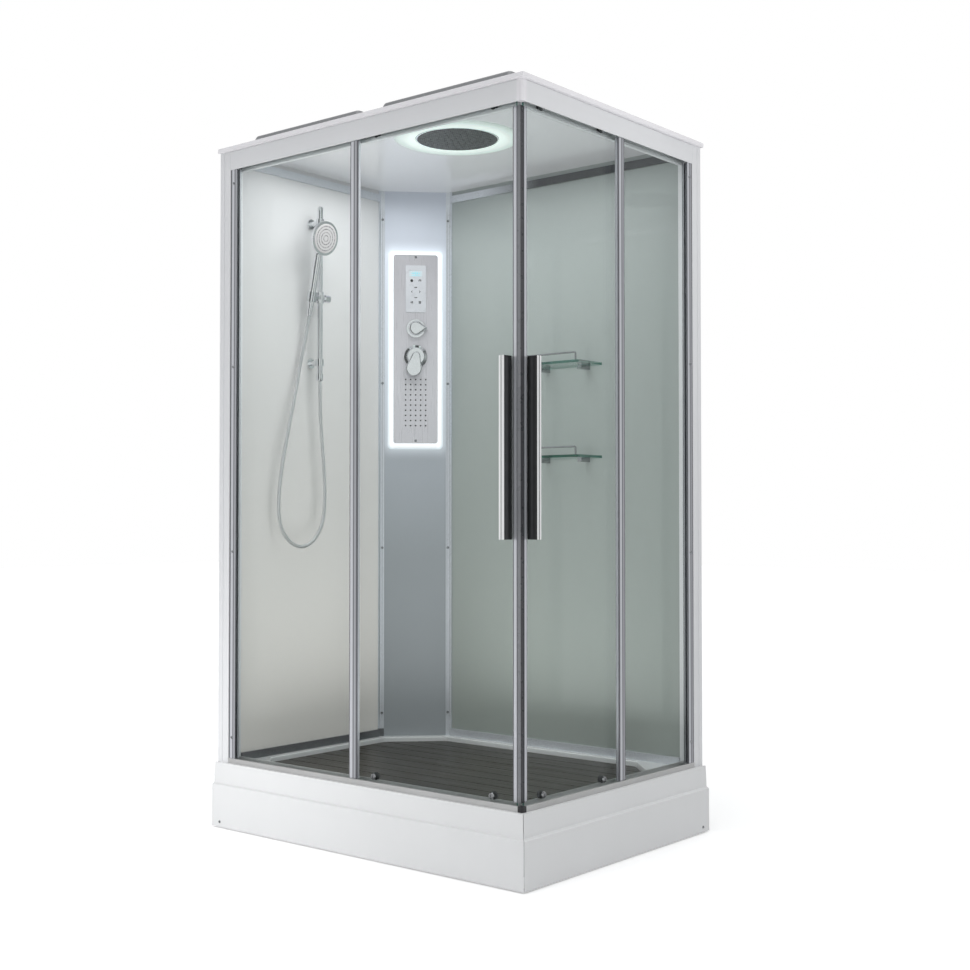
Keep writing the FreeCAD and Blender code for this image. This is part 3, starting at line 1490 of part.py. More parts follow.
knob = new_body("diverter_knob")
knob_bore = d.diverter_spindle_radius + fit
knob_back = panel_face + gap
knob_circle = (0, diverter_level, d.diverter_radius)
grip_circle = (0, diverter_level, d.diverter_grip_radius)
grip_lift = knob_back + d.diverter_flange
grip_length = d.diverter_height - d.diverter_flange
touch = d.diverter_grip_radius * d.diverter_grip_radius / d.diverter_tip
touch_rise = root(d.diverter_grip_radius * d.diverter_grip_radius - touch * touch)
tip_outline = [
    (0, diverter_level - touch_rise),
    (touch, diverter_level - touch_rise),
    (d.diverter_tip, diverter_level),
    (touch, diverter_level + touch_rise),
    (0, diverter_level + touch_rise),
]
pad(knob, circle_sketch(knob, "knob_flange", "XZ_Plane", [knob_circle], knob_back), d.diverter_flange)
pad(knob, circle_sketch(knob, "knob_grip", "XZ_Plane", [grip_circle], grip_lift), grip_length)
pad(knob, loop_sketch(knob, "knob_tip", "XZ_Plane", [tip_outline], grip_lift), grip_length)
round_front(knob, "knob_front_round", knob_back + d.diverter_height, d.knob_round)
bore_sketch = circle_sketch(knob, "knob_bore", "XZ_Plane", [(0, diverter_level, knob_bore)], knob_back)
pocket(knob, bore_sketch, web_low - gap, back=True)
node("diverter_knob", on_column(knob))

# Riser rail with wall brackets and the hose outlet at its foot.
riser_top = d.riser_foot + d.riser_length
bore_radius = d.riser_radius - d.riser_wall
riser_profile = [
    (bore_radius, d.riser_foot),
    (d.riser_radius, d.riser_foot),
    (d.riser_radius, riser_top),
    (d.riser_radius - 3, riser_top + 3),
    (0, riser_top + 3),
    (0, riser_top - 2),
    (bore_radius, riser_top - 2),
]
riser_axis = (riser_x, d.riser_y, 0)
nut_foot = d.riser_foot - d.outlet_nut_height
nut_profile = [
    (0, nut_foot),
    (d.riser_radius - 1, nut_foot),
    (d.riser_radius + 2, nut_foot + 5),
    (d.riser_radius + 2, d.riser_foot),
    (0, d.riser_foot),
]
riser = [place(turned("riser_tube", riser_profile), riser_axis)]
riser.append(place(turned("hose_outlet", nut_profile), riser_axis))
for name, level in (("high", d.bracket_high), ("low", d.bracket_low)):
    flange = rod(f"{name}_bracket_flange", d.bracket_radius, (wall_x, d.riser_y, level), "X", 6)
    arm = rod(f"{name}_bracket_arm", d.riser_radius - 1, (wall_x, d.riser_y, level), "X", d.riser_off)
    collar_foot = (riser_x, d.riser_y, level - d.bracket_collar / 2)
    collar = rod(f"{name}_bracket_collar", d.riser_radius + 4, collar_foot, "Z", d.bracket_collar)
    blank = fuse(f"{name}_bracket_blank", [flange, arm, collar])
    bore_foot = (riser_x, d.riser_y, level - d.bracket_collar)
    bore = rod(f"{name}_bracket_bore", d.riser_radius + 0.1, bore_foot, "Z", d.bracket_collar * 2)
    riser.append(cut(f"{name}_bracket", blank, [bore]))
node("riser_rail", group("riser_rail", riser))

# Slider clamped on the riser, with a lock knob on one side and the holder's pivot on the other.
slider_low = d.slider_level - d.slider_height / 2
pivot_face = d.slider_radius + 2
pivot_reach = d.holder_offset - pivot_face - 13.4
barrel = rod("slider_barrel", d.slider_radius, (riser_x, d.riser_y, slider_low), "Z", d.slider_height)
boss = rod("slider_boss", d.slider_radius - 2, (riser_x, d.riser_y, d.slider_level), "-Y", pivot_face)
pin = rod("slider_pin", d.pivot_radius, (riser_x, d.riser_y, d.slider_level), "-Y", pivot_face + pivot_reach)
neck = rod("slider_knob_neck", d.slider_radius - 5, (riser_x, d.riser_y, d.slider_level), "Y", pivot_face + 4)
lock_spot = (riser_x, d.riser_y + pivot_face + 2, d.slider_level)
lock = rod("slider_lock_knob", d.slider_radius, lock_spot, "Y", 20)
blank = fuse("slider_blank", [barrel, boss, pin, neck, lock])
bore_spot = (riser_x, d.riser_y, slider_low - 5)
bore = rod("slider_bore", d.riser_radius + 0.1, bore_spot, "Z", d.slider_height + 10)
node("slider", cut("slider", blank, [bore]))

# Holder, handset and spray face, drawn upright about the pivot and leaned together.
handset_y = d.riser_y - d.holder_offset
leaned = FreeCAD.Rotation(Vector(0, 1, 0), number_of(d.handset_lean))


def lean_handset(thing):
    place(thing, (riser_x, handset_y, d.slider_level), leaned)
    bind(thing, "Placement.Rotation.Angle", d.handset_lean)
    return thing


half_holder = d.holder_height / 2
holder_profile = [
    (d.holder_radius - 5.1, -half_holder),
    (d.holder_radius - 1, -half_holder),
    (d.holder_radius, half_holder),
    (d.holder_radius - 3.6, half_holder),
]
cup = turned("holder_cup", holder_profile)
holder_face = d.holder_offset - pivot_face - 0.3
boss = rod("holder_boss", d.slider_radius - 3, (0, holder_face, 0), "-Y", holder_face - d.holder_radius + 5)
holder_blank = fuse("holder_blank", [cup, boss])
pin_room = rod("holder_pin_room", d.pivot_radius + fit, (0, holder_face + 1, 0), "-Y", pivot_reach + 1)
cone_low = d.holder_radius - 5.1
cone_high = d.holder_radius - 3.6
cone_profile = [
    (0, -half_holder - 1),
    (cone_low, -half_holder - 1),
    (cone_low, -half_holder),
    (cone_high, half_holder),
    (cone_high, half_holder + 1),
    (0, half_holder + 1),
]
cone_room = turned("holder_cone_room", cone_profile)
node("handset_holder", lean_handset(cut("handset_holder", holder_blank, [pin_room, cone_room])))

stem = d.holder_radius - 3.9
handle_foot = -half_holder - 24
handle_profile = [
    (0, handle_foot),
    (stem - 3, handle_foot),
    (stem - 1.5, -half_holder),
    (stem, half_holder),
    (stem - 0.5, half_holder + 20),
    (stem + 1, d.handset_reach * 0.6),
    (stem - 1, d.handset_reach * 0.85),
    (stem - 4, d.handset_reach * 0.97),
    (0, d.handset_reach * 0.97),
]
head_profile = [
    (0, -15),
    (d.handset_head_radius * 0.5, -13),
    (d.handset_head_radius * 0.88, -4),
    (d.handset_head_radius, 4),
    (d.handset_head_radius, 12),
    (d.handset_face_radius + 0.5, 13),
    (d.handset_face_radius + 0.5, 10),
    (0, 10),
]
handle = turned("handset_handle", handle_profile)
head = place(turned("handset_head", head_profile), (10, 0, d.handset_reach), TURNS["X"])
hose_cone_profile = [
    (0, handle_foot - 22),
    (d.hose_radius + 1.5, handle_foot - 22),
    (stem - 2, handle_foot),
    (0, handle_foot),
]
hose_cone = turned("handset_hose_cone", hose_cone_profile)
handset = group("handset", [fuse("handset_shell", [handle, head]), hose_cone])
node("handset", lean_handset(handset))
spray = [
    (0, 10),
    (d.handset_face_radius, 10),
    (d.handset_face_radius, 13),
    (d.handset_face_radius - 2, 14),
    (0, 14),
]
spray_disc = turned("handset_spray", spray)
handset_nozzles = (d.handset_nozzle_pitch, d.handset_nozzle_radius, HANDSET_RINGS)
nozzle_rings(spray_disc, "handset_nozzle", 14, *handset_nozzles, down=False)
place(spray_disc, (10, 0, d.handset_reach), TURNS["X"])
node("handset_face", lean_handset(group("handset_face", [spray_disc])))

# Shower hose: hangs from the riser's foot in a loop and climbs to the handset.
lean_angle = math.radians(number_of(d.handset_lean))
axis_down = Vector(-math.sin(lean_angle), 0, -math.cos(lean_angle))
pivot = Vector(number_of(riser_x), number_of(handset_y), number_of(d.slider_level))
hose_end = pivot + axis_down * number_of(d.holder_height / 2 + 24 + 22)
hose_start = Vector(number_of(riser_x), number_of(d.riser_y), number_of(nut_foot))
# Offsets of the route from the hose outlet, in order down the near leg, round the loop and up.
HOSE_DOWN = ((0, 0, -62), (-1, 7, -160), (-2, 20, -270), (-3, 28, -372), (-4, 20, -454), (-5, -18, -512))
HOSE_UP = ((-7, -72, -534), (-9, -128, -511), (-10, -163, -456), (-11, -166, -374), (-12, -150, -272))
HOSE_TOP = ((-14, -120, -150), (-19, -86, -34), (-26, -58, 68))
route = [hose_start]
route += [hose_start + Vector(*step) for step in HOSE_DOWN + HOSE_UP + HOSE_TOP]
route += [hose_end + axis_down * 50, hose_end]
runs = [(b - a).Length for a, b in zip(route, route[1:])]
bends = []
for before, spot, after, first, second in zip(route, route[1:], route[2:], runs, runs[1:]):
    turn = (spot - before).getAngle(after - spot)
    bends.append(0.45 * min(first, second) / math.tan(turn / 2))
hose, hose_path = round_wire(route, bends, number_of(d.hose_radius))
hose_section = math.pi * number_of(d.hose_radius) ** 2
print("hose runs", [round(run) for run in runs], "radii", [round(bend) for bend in bends])
hose_ratio = hose.Volume / hose_section / hose_path.Length
print("hose length", round(hose_path.Length), "volume ratio", round(hose_ratio, 4))
node("shower_hose", own_shape("shower_hose", hose))

# Glass shelves on wall clips, each with a gallery rail of round wire that stands on the glass.
shelf_back = wall_y - 1
shelf_front = wall_y - d.shelf_depth
shelf_span = (d.shelf_x - d.shelf_width / 2, d.shelf_x + d.shelf_width / 2)
plates = []
brackets = []
for name, base in (("high", d.shelf_high), ("low", d.shelf_low)):
    body = new_body(f"{name}_shelf")
    outline = oblong(shelf_span, (shelf_front, shelf_back))
    pad(body, loop_sketch(body, f"{name}_shelf_plan", "XY_Plane", [outline]), d.shelf_thickness)
    front_line = number_of(shelf_front)

    def front_corner(edge):
        return runs_along(edge, Vector(0, 0, 1)) and abs(edge.Vertexes[0].Point.y - front_line) < 1e-6

    round_edges(body, f"{name}_shelf_round", d.shelf_round, front_corner)
    plates.append(place(body, (0, 0, base)))

    shelf_top = base + d.shelf_thickness
    wire_level = number_of(shelf_top + d.gallery_rise)
    wire_foot = number_of(shelf_top)
    wire_x = [number_of(shelf_span[0] + d.gallery_end), number_of(shelf_span[1] - d.gallery_end)]
    wire_y = number_of(shelf_front + d.gallery_inset)
    corners = [
        Vector(wire_x[0], wire_y, wire_foot),
        Vector(wire_x[0], wire_y, wire_level),
        Vector(wire_x[1], wire_y, wire_level),
        Vector(wire_x[1], wire_y, wire_foot),
    ]
    bend = number_of(d.gallery_bend)
    wire, wire_path = round_wire(corners, [bend, bend], number_of(d.gallery_radius))
    brackets.append(own_shape(f"{name}_gallery", wire))
    for index, sign in enumerate((-1, 1)):
        middle = d.shelf_x + d.clip_spacing / 2 * sign
        clip_x = (middle - d.clip_width / 2, middle + d.clip_width / 2)
        clip_level = (base - d.clip_height, base)
        brackets.append(box(f"{name}_clip_{index}", clip_x, (wall_y - d.clip_depth, wall_y), clip_level))
node("shelf_glass", group("shelf_glass", plates))
node("shelf_brackets", group("shelf_brackets", brackets))

# Check every object and write the nodes.
doc.recompute()
for thing in doc.Objects:
    if "Invalid" in thing.State or "Error" in thing.State:
        raise RuntimeError(f"{thing.Label}: {thing.State}")
os.makedirs("parts", exist_ok=True)
for label, thing in NODES.items():
    shape = thing.Shape
    if shape.isNull() or not shape.isValid():
        raise RuntimeError(f"{label}: bad shape")
    shape.exportStep(f"parts/{label}.step")
print(len(NODES), "nodes")
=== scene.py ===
import json
import math

import bmesh
import bpy
from mathutils import Matrix, Vector


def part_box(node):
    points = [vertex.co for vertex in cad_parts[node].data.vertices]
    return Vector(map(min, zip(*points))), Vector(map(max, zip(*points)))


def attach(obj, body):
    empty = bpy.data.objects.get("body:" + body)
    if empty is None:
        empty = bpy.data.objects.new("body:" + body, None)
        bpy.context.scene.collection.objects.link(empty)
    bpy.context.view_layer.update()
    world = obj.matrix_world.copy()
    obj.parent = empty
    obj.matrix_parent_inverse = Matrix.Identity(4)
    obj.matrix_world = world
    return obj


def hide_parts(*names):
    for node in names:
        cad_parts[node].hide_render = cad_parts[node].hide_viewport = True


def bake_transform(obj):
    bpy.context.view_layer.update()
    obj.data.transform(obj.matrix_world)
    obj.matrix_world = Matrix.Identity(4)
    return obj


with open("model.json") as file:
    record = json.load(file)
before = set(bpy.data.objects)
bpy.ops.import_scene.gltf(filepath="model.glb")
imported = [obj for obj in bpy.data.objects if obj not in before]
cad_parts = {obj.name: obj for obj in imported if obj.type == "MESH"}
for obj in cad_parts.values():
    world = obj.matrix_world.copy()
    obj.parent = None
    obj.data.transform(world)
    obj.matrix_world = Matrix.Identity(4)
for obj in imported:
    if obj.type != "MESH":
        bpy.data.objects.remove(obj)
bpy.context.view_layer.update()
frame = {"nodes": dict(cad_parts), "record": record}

# The dressed shower cabin: camera, hose, materials, small pieces, floor and light around the CAD frame.
# All lengths are metres in the frame of the CAD model: front at -Y, open side at +X, floor at z = 0.

scene = bpy.context.scene
scene.view_settings.view_transform = "Standard"


# Camera

CAMERA_PLACE = (2.7319, -3.1888, 0.9363)
CAMERA_TILT = 91.3172
CAMERA_TURN = 39.5051
CAMERA_SENSOR = 36.0
CAMERA_LENS = 51.63


def make_camera():
    data = bpy.data.cameras.new("camera")
    data.sensor_width = CAMERA_SENSOR
    data.lens = CAMERA_LENS
    camera = bpy.data.objects.new("camera", data)
    camera.location = CAMERA_PLACE
    camera.rotation_euler = (math.radians(CAMERA_TILT), 0.0, math.radians(CAMERA_TURN))
    scene.collection.objects.link(camera)
    scene.camera = camera


# Mesh helpers


def add_piece(name, mesh, material, body=None, smooth=False):
    """Puts a mesh into the scene as one piece of the object, with its finish and the body that carries it."""
    piece = bpy.data.objects.new(name, mesh)
    scene.collection.objects.link(piece)
    mesh.materials.append(material)
    for face in mesh.polygons:
        face.use_smooth = smooth
    if body:
        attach(piece, body)
    return piece


def mesh_from(name, build):
    """Runs build on an empty bmesh and gives the mesh with its faces turned outwards."""
    form = bmesh.new()
    build(form)
    bmesh.ops.recalc_face_normals(form, faces=form.faces)
    mesh = bpy.data.meshes.new(name)
    form.to_mesh(mesh)
    form.free()
    return mesh


def add_prism(form, outline, place, low, high):
    """Adds a prism: a closed outline of (x, y) pairs from low to high, with place(x, y, h) as a point."""
    bottom = [form.verts.new(place(x, y, low)) for x, y in outline]
    top = [form.verts.new(place(x, y, high)) for x, y in outline]
    form.faces.new(bottom)
    form.faces.new(top)
    for here in range(len(outline)):
        ahead = (here + 1) % len(outline)
        form.faces.new((bottom[here], bottom[ahead], top[ahead], top[here]))


def rounded_outline(width, height, radius, steps=5):
    """Outline of a rectangle about (0, 0) with round corners."""
    outline = []
    for corner, (side_x, side_y) in enumerate(((1, 1), (-1, 1), (-1, -1), (1, -1))):
        centre_x = side_x * (width / 2 - radius)
        centre_y = side_y * (height / 2 - radius)
        for step in range(steps + 1):
            angle = math.radians(90.0 * (corner + step / steps))
            outline.append((centre_x + radius * math.cos(angle), centre_y + radius * math.sin(angle)))
    return outline


def moved(outline, along, up):
    return [(x + along, y + up) for x, y in outline]


# Hose, from the outlet at the foot of the riser down, round and up to the handset

HOSE_RADIUS = 0.006
HOSE_RIB_PITCH = 0.004
HOSE_RIB_DEPTH = 0.0007
HOSE_SIDES = 12
HOSE_STEPS = 120
HOSE_ORDER = 3
HOSE_UPPER_LENGTH = 0.07
HOSE_OUTLET = (-0.510, -0.090, 1.371)
HOSE_ROUTE = (
    HOSE_OUTLET,
    (-0.510, -0.090, 1.309),
    (-0.511, -0.083, 1.211),
    (-0.512, -0.070, 1.101),
    (-0.513, -0.062, 0.999),
    (-0.514, -0.070, 0.917),
    (-0.515, -0.108, 0.859),
    (-0.517, -0.162, 0.837),
    (-0.519, -0.218, 0.860),
    (-0.520, -0.253, 0.915),
    (-0.521, -0.256, 0.997),
    (-0.522, -0.240, 1.099),
    (-0.524, -0.210, 1.221),
    (-0.529, -0.176, 1.337),
    (-0.536, -0.148, 1.439),
    (-0.5342, -0.126, 1.5297),
    (-0.5234, -0.126, 1.5785),
)


def route_line():
    """Points read from the NURBS spline that has the hose's route as its control points."""
    curve = bpy.data.curves.new("hose_route", "CURVE")
    curve.dimensions = "3D"
    curve.resolution_u = HOSE_STEPS
    spline = curve.splines.new("NURBS")
    spline.points.add(len(HOSE_ROUTE) - 1)
    for point, place in zip(spline.points, HOSE_ROUTE):
        point.co = (*place, 1.0)
    spline.order_u = HOSE_ORDER
    spline.use_endpoint_u = True
    holder = bpy.data.objects.new("hose_route", curve)
    line = bpy.data.meshes.new_from_object(holder)
    points = [vertex.co.copy() for vertex in line.vertices]
    bpy.data.objects.remove(holder)
    bpy.data.curves.remove(curve)
    bpy.data.meshes.remove(line)
    return points


def run_lengths(points):
    """Length along the line at each of its points."""
    lengths = [0.0]
    for here, ahead in zip(points, points[1:]):
        lengths.append(lengths[-1] + (ahead - here).length)
    return lengths


def ribbed_tube(name, points, lengths):
    """A closed tube along the points, its wall pressed in between the ribs."""

    def build(form):
        side = Vector((1.0, 0.0, 0.0))
        rings = []
        for index, point in enumerate(points):
            ahead = points[min(index + 1, len(points) - 1)] - points[max(index - 1, 0)]
            ahead.normalize()
            side = (side - ahead * side.dot(ahead)).normalized()
            across = ahead.cross(side)
            wave = 0.5 - 0.5 * math.cos(2.0 * math.pi * lengths[index] / HOSE_RIB_PITCH)
            radius = HOSE_RADIUS - HOSE_RIB_DEPTH * wave
            ring = []
            for step in range(HOSE_SIDES):
                angle = 2.0 * math.pi * step / HOSE_SIDES
                offset = side * math.cos(angle) + across * math.sin(angle)
                ring.append(form.verts.new(point + offset * radius))
            rings.append(ring)
        for lower, upper in zip(rings, rings[1:]):
            for step in range(HOSE_SIDES):
                ahead = (step + 1) % HOSE_SIDES
                form.faces.new((lower[step], lower[ahead], upper[ahead], upper[step]))
        form.faces.new(rings[0])
        form.faces.new(rings[-1])

    return mesh_from(name, build)


def make_hose(material):
    """The hose in two pieces: the loop, and its last stretch up to the handset."""
    points = route_line()
    lengths = run_lengths(points)
    cut = next(i for i, run in enumerate(lengths) if run > lengths[-1] - HOSE_UPPER_LENGTH)
    lower_points = points[: cut + 1]
    upper_points = points[cut:]
    lower_mesh = ribbed_tube("hose_lower", lower_points, lengths[: cut + 1])
    upper_mesh = ribbed_tube("hose_upper", upper_points, lengths[cut:])
    lower = add_piece("hose_lower", lower_mesh, material, smooth=True)
    upper = add_piece("hose_upper", upper_mesh, material, smooth=True)
    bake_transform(lower)
    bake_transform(upper)
    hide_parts("shower_hose")


# Nodes of a material

# The stretch of a noise value that is spread over a whole range
NOISE_LOW = 0.3
NOISE_HIGH = 0.7
# How squarely a face has to look along a direction, as a cosine
FACING_LOW = 0.55
FACING_HIGH = 0.75


def fill_ramp(ramp, stops):
    """Sets the stops of a colour ramp, each a place and a grey level."""
    while len(ramp.elements) < len(stops):
        ramp.elements.new(0.5)
    for element, (where, level) in zip(ramp.elements, stops):
        element.position = where
        element.color = (level, level, level, 1.0)


class Finish:
    """A material with one Principled shader and short calls for the nodes that feed it."""

    def __init__(self, name, **values):
        self.material = bpy.data.materials.new(name)
        self.material.use_nodes = True
        self.tree = self.material.node_tree
        self.shader = self.tree.nodes["Principled BSDF"]
        self.output = self.tree.nodes["Material Output"]
        self.coords = self.node("ShaderNodeTexCoord").outputs
        for socket, value in values.items():
            self.set(socket.replace("_", " "), value)

    def set(self, socket, value):
        """Sets a constant on the shader's own socket, or links a node's output to it."""
        self.feed(self.shader.inputs[socket], (*value, 1.0) if isinstance(value, tuple) else value)

    def node(self, kind, settings=(), **links):
        made = self.tree.nodes.new(kind)
        for name, value in dict(settings).items():
            setattr(made, name, value)
        for name, value in links.items():
            self.feed(made.inputs[name], value)
        return made

    def feed(self, socket, value):
        """Sets a constant on any node's socket, or links another node's output to it."""
        if isinstance(value, bpy.types.NodeSocket):
            self.tree.links.new(value, socket)
        else:
            socket.default_value = value

    def place(self, stretch=(1.0, 1.0, 1.0)):
        """Object coordinates, stretched along the axes."""
        mapping = self.node("ShaderNodeMapping", Vector=self.coords["Object"], Scale=stretch)
        return mapping.outputs["Vector"]

    def axis(self, name):
        """One object coordinate as a value: X, Y or Z."""
        split = self.node("ShaderNodeSeparateXYZ", Vector=self.place())
        return split.outputs[name]

    def noise(self, scale, stretch=(1.0, 1.0, 1.0), detail=3.0):
        made = self.node("ShaderNodeTexNoise", Vector=self.place(stretch), Scale=scale, Detail=detail)
        return made.outputs["Fac"]

    def math(self, operation, first, second=0.0):
        made = self.node("ShaderNodeMath", {"operation": operation})
        self.feed(made.inputs[0], first)
        self.feed(made.inputs[1], second)
        return made.outputs["Value"]

    def vector_math(self, operation, first, second):
        """Two vectors taken to one value: DOT_PRODUCT or DISTANCE."""
        made = self.node("ShaderNodeVectorMath", {"operation": operation})
        self.feed(made.inputs[0], first)
        self.feed(made.inputs[1], second)
        return made.outputs["Value"]

    def span(self, value, low, high, out_low, out_high):
        """The value's range from low to high, carried over to the range from out_low to out_high."""
        made = self.node("ShaderNodeMapRange")
        limits = {"Value": value, "From Min": low, "From Max": high, "To Min": out_low, "To Max": out_high}
        for socket, limit in limits.items():
            self.feed(made.inputs[socket], limit)
        return made.outputs["Result"]

    def share(self, value, low, high):
        """0 up to low, 1 from high on."""
        return self.span(value, low, high, 0.0, 1.0)

    def vary(self, noise, low, high):
        """A noise value, spread from low to high."""
        return self.span(noise, NOISE_LOW, NOISE_HIGH, low, high)

    def facing(self, direction):
        """1 on faces that look along the direction, 0 on the others."""
        cosine = self.vector_math("DOT_PRODUCT", self.coords["Normal"], direction)
        return self.share(cosine, FACING_LOW, FACING_HIGH)

    def mix(self, share, first, second):
        made = self.node("ShaderNodeMix", {"data_type": "RGBA"})
        self.feed(made.inputs[0], share)
        for socket, colour in ((made.inputs[6], first), (made.inputs[7], second)):
            self.feed(socket, (*colour, 1.0) if isinstance(colour, tuple) else colour)
        return made.outputs[2]

    def bump(self, height, strength, distance):
        made = self.node("ShaderNodeBump", Height=height, Strength=strength, Distance=distance)
        self.set("Normal", made.outputs["Normal"])


# Plastics and metals

PLASTIC_CLOUDS = 6.0
METAL_CLOUDS = 14.0
DRAWN_CLOUDS = 5.0
# How much finer the drift of the roughness is than that of the colour
FINE_CLOUDS = 9.0
PEEL_SCALE = 5.0
PEEL_STRENGTH = 0.04
PEEL_DEPTH = 0.001
LINE_SCALE = 2.0
LINE_DETAIL = 2.0
LINE_DEPTH = 0.0003
UPRIGHT_LINES = (400.0, 400.0, 3.0)
DRAWN_LINES = (3.0, 3.0, 400.0)
DRAWN_STRENGTH = 0.12


def tinted(finish, light, dark, scale):
    """Base colour that drifts a little over the surface."""
    drift = finish.vary(finish.noise(scale), 0.0, 1.0)
    finish.set("Base Color", finish.mix(drift, light, dark))


def clouded(finish, light, dark, rough, scale):
    """Base colour and roughness that drift a little over the surface."""
    tinted(finish, light, dark, scale)
    finish.set("Roughness", finish.vary(finish.noise(scale * FINE_CLOUDS), *rough))


def fine_lines(finish, stretch):
    """Noise drawn out into fine lines along the axis that is stretched least."""
    return finish.noise(LINE_SCALE, stretch, detail=LINE_DETAIL)


def moulded_plastic(name, light, dark, rough, coat=0.0):
    finish = Finish(name, Coat_Weight=coat)
    clouded(finish, light, dark, rough, PLASTIC_CLOUDS)
    finish.bump(finish.noise(PEEL_SCALE, detail=1.0), PEEL_STRENGTH, PEEL_DEPTH)
    return finish.material


def polished_metal(name, light, dark, rough):
    finish = Finish(name, Metallic=1.0)
    clouded(finish, light, dark, rough, METAL_CLOUDS)
    return finish.material


def drawn_metal(name, light, dark, rough, metal):
    """Drawn metal with fine lines across its height."""
    finish = Finish(name, Metallic=metal)
    tinted(finish, light, dark, DRAWN_CLOUDS)
    lines = fine_lines(finish, DRAWN_LINES)
    finish.set("Roughness", finish.vary(lines, *rough))
    finish.bump(lines, DRAWN_STRENGTH, LINE_DEPTH)
    return finish.material


# Extruded profiles, with painted shade and reflection across them: a dark lip, a light land, a shaded groove, a
# grey land and a dark lip, repeated at the pitch

PROFILE_LINES = (
    (0.0, 0.22),
    (0.08, 0.26),
    (0.13, 1.0),
    (0.42, 0.95),
    (0.48, 0.28),
    (0.58, 0.32),
    (0.64, 0.68),
    (0.82, 0.62),
    (0.88, 0.18),
    (0.97, 0.20),
)
PROFILE_PITCH = 0.030
PROFILE_START = 0.56
PROFILE_STRENGTH = 0.08
DOOR_STILE_PITCH = 0.026
FRONT_STILE_START = 0.79
SIDE_STILE_START = 0.25
TRIM_PITCH = 0.012
TRIM_START = 0.5
TRIM_LINES = (300.0, 300.0, 300.0)
# Heights over which the grooves of the upright trims, drawn as painted shade, set in and end, and how strongly
# they show
TRIM_FOOT = (0.24, 0.27)
TRIM_HEAD = (1.97, 2.0)
TRIM_GROOVES = 0.45
# Painted dark reflection on the trims: heights and x values over which it sets in, and its strength
HEAD_SHADE_Z = (1.98, 2.01)
HEAD_SHADE_X = (-0.24, 0.0)
HEAD_SHADE = 0.93
FOOT_SHADE_Z = (0.222, 0.219)
FOOT_SHADE_X = (-0.51, -0.53)
FOOT_SHADE = 0.85


def profile_lines(finish, pitch, start):
    """Painted tone of the lands and grooves across an upright profile, shade in the grooves and reflection on the
    lips, 1 where it is lightest.
    """
    across = finish.math("ADD", finish.axis("X"), finish.axis("Y"))
    place = finish.math("FRACT", finish.math("SUBTRACT", finish.math("DIVIDE", across, pitch), start))
    bands = finish.node("ShaderNodeValToRGB", Fac=place)
    fill_ramp(bands.color_ramp, PROFILE_LINES)
    return bands.outputs["Color"]


def extruded_metal(name, pitch, start):
    """Upright aluminium profiles with lengthwise grooves, their dark and light bands painted shade and reflection.
    """
    finish = Finish(name, Metallic=0.55)
    drift = finish.noise(5.0, (1.0, 1.0, 0.3))
    light = finish.mix(drift, (0.74, 0.755, 0.80), (0.68, 0.695, 0.74))
    finish.set("Base Color", finish.mix(profile_lines(finish, pitch, start), (0.02, 0.02, 0.028), light))
    lines = fine_lines(finish, UPRIGHT_LINES)
    finish.set("Roughness", finish.vary(lines, 0.14, 0.22))
    finish.bump(lines, PROFILE_STRENGTH, LINE_DEPTH)
    return finish.material


def trim_metal():
    """Trim strips of the walls: uprights with grooves drawn as painted shade, and painted dark reflections at the
    back wall's head and the left wall's foot.
    """
    finish = Finish("trim_metal", Metallic=0.45)
    x, z = finish.axis("X"), finish.axis("Z")
    upright = finish.math("MULTIPLY", finish.share(z, *TRIM_FOOT), finish.span(z, *TRIM_HEAD, 1.0, 0.0))
    grooves = profile_lines(finish, TRIM_PITCH, TRIM_START)
    lines = finish.mix(finish.math("MULTIPLY", upright, TRIM_GROOVES), (1.0, 1.0, 1.0), grooves)
    light = finish.mix(finish.noise(5.0), (0.72, 0.745, 0.79), (0.66, 0.685, 0.73))
    plain = finish.mix(lines, (0.03, 0.03, 0.04), light)
    # Painted dark reflection: the back wall's head trim right of x = 0, and the left wall's foot trim
    head_along = finish.span(x, *HEAD_SHADE_X, 0.0, HEAD_SHADE)
    head = finish.math("MULTIPLY", finish.share(z, *HEAD_SHADE_Z), head_along)
    foot_along = finish.span(x, *FOOT_SHADE_X, 0.0, FOOT_SHADE)
    foot = finish.math("MULTIPLY", finish.share(z, *FOOT_SHADE_Z), foot_along)
    shade = finish.math("MAXIMUM", head, foot)
    finish.set("Base Color", finish.mix(shade, plain, (0.035, 0.037, 0.04)))
    finish.set("Roughness", finish.vary(fine_lines(finish, TRIM_LINES), 0.26, 0.34))
    return finish.material


def grip_metal(name, front):
    """Door grip: bright front strip, near-black sides."""
    finish = Finish(name)
    bright = finish.facing(front)
    lines = fine_lines(finish, UPRIGHT_LINES)
    steel = finish.mix(finish.vary(lines, 0.0, 1.0), (0.96, 0.97, 0.97), (0.88, 0.89, 0.89))
    black = finish.mix(finish.noise(40.0), (0.018, 0.019, 0.020), (0.034, 0.035, 0.036))
    finish.set("Base Color", finish.mix(bright, black, steel))
    finish.set("Metallic", finish.span(bright, 0.0, 1.0, 0.0, 0.15))
    finish.set("Roughness", finish.vary(lines, 0.14, 0.24))
    return finish.material


# Spray faces of the handset and the rain head

NOZZLE_PITCH = 0.0096
NOZZLE_RING = (0.1, 0.8)
SPECK_SCALE = 220.0
SPECK_NOISE = (0.4, 0.6)
SPECK_RANGE = (0.35, 1.0)
MESH_PITCH = 760.0
MESH_CLOUDS = 95.0
MESH_NOISE = (0.35, 0.65)


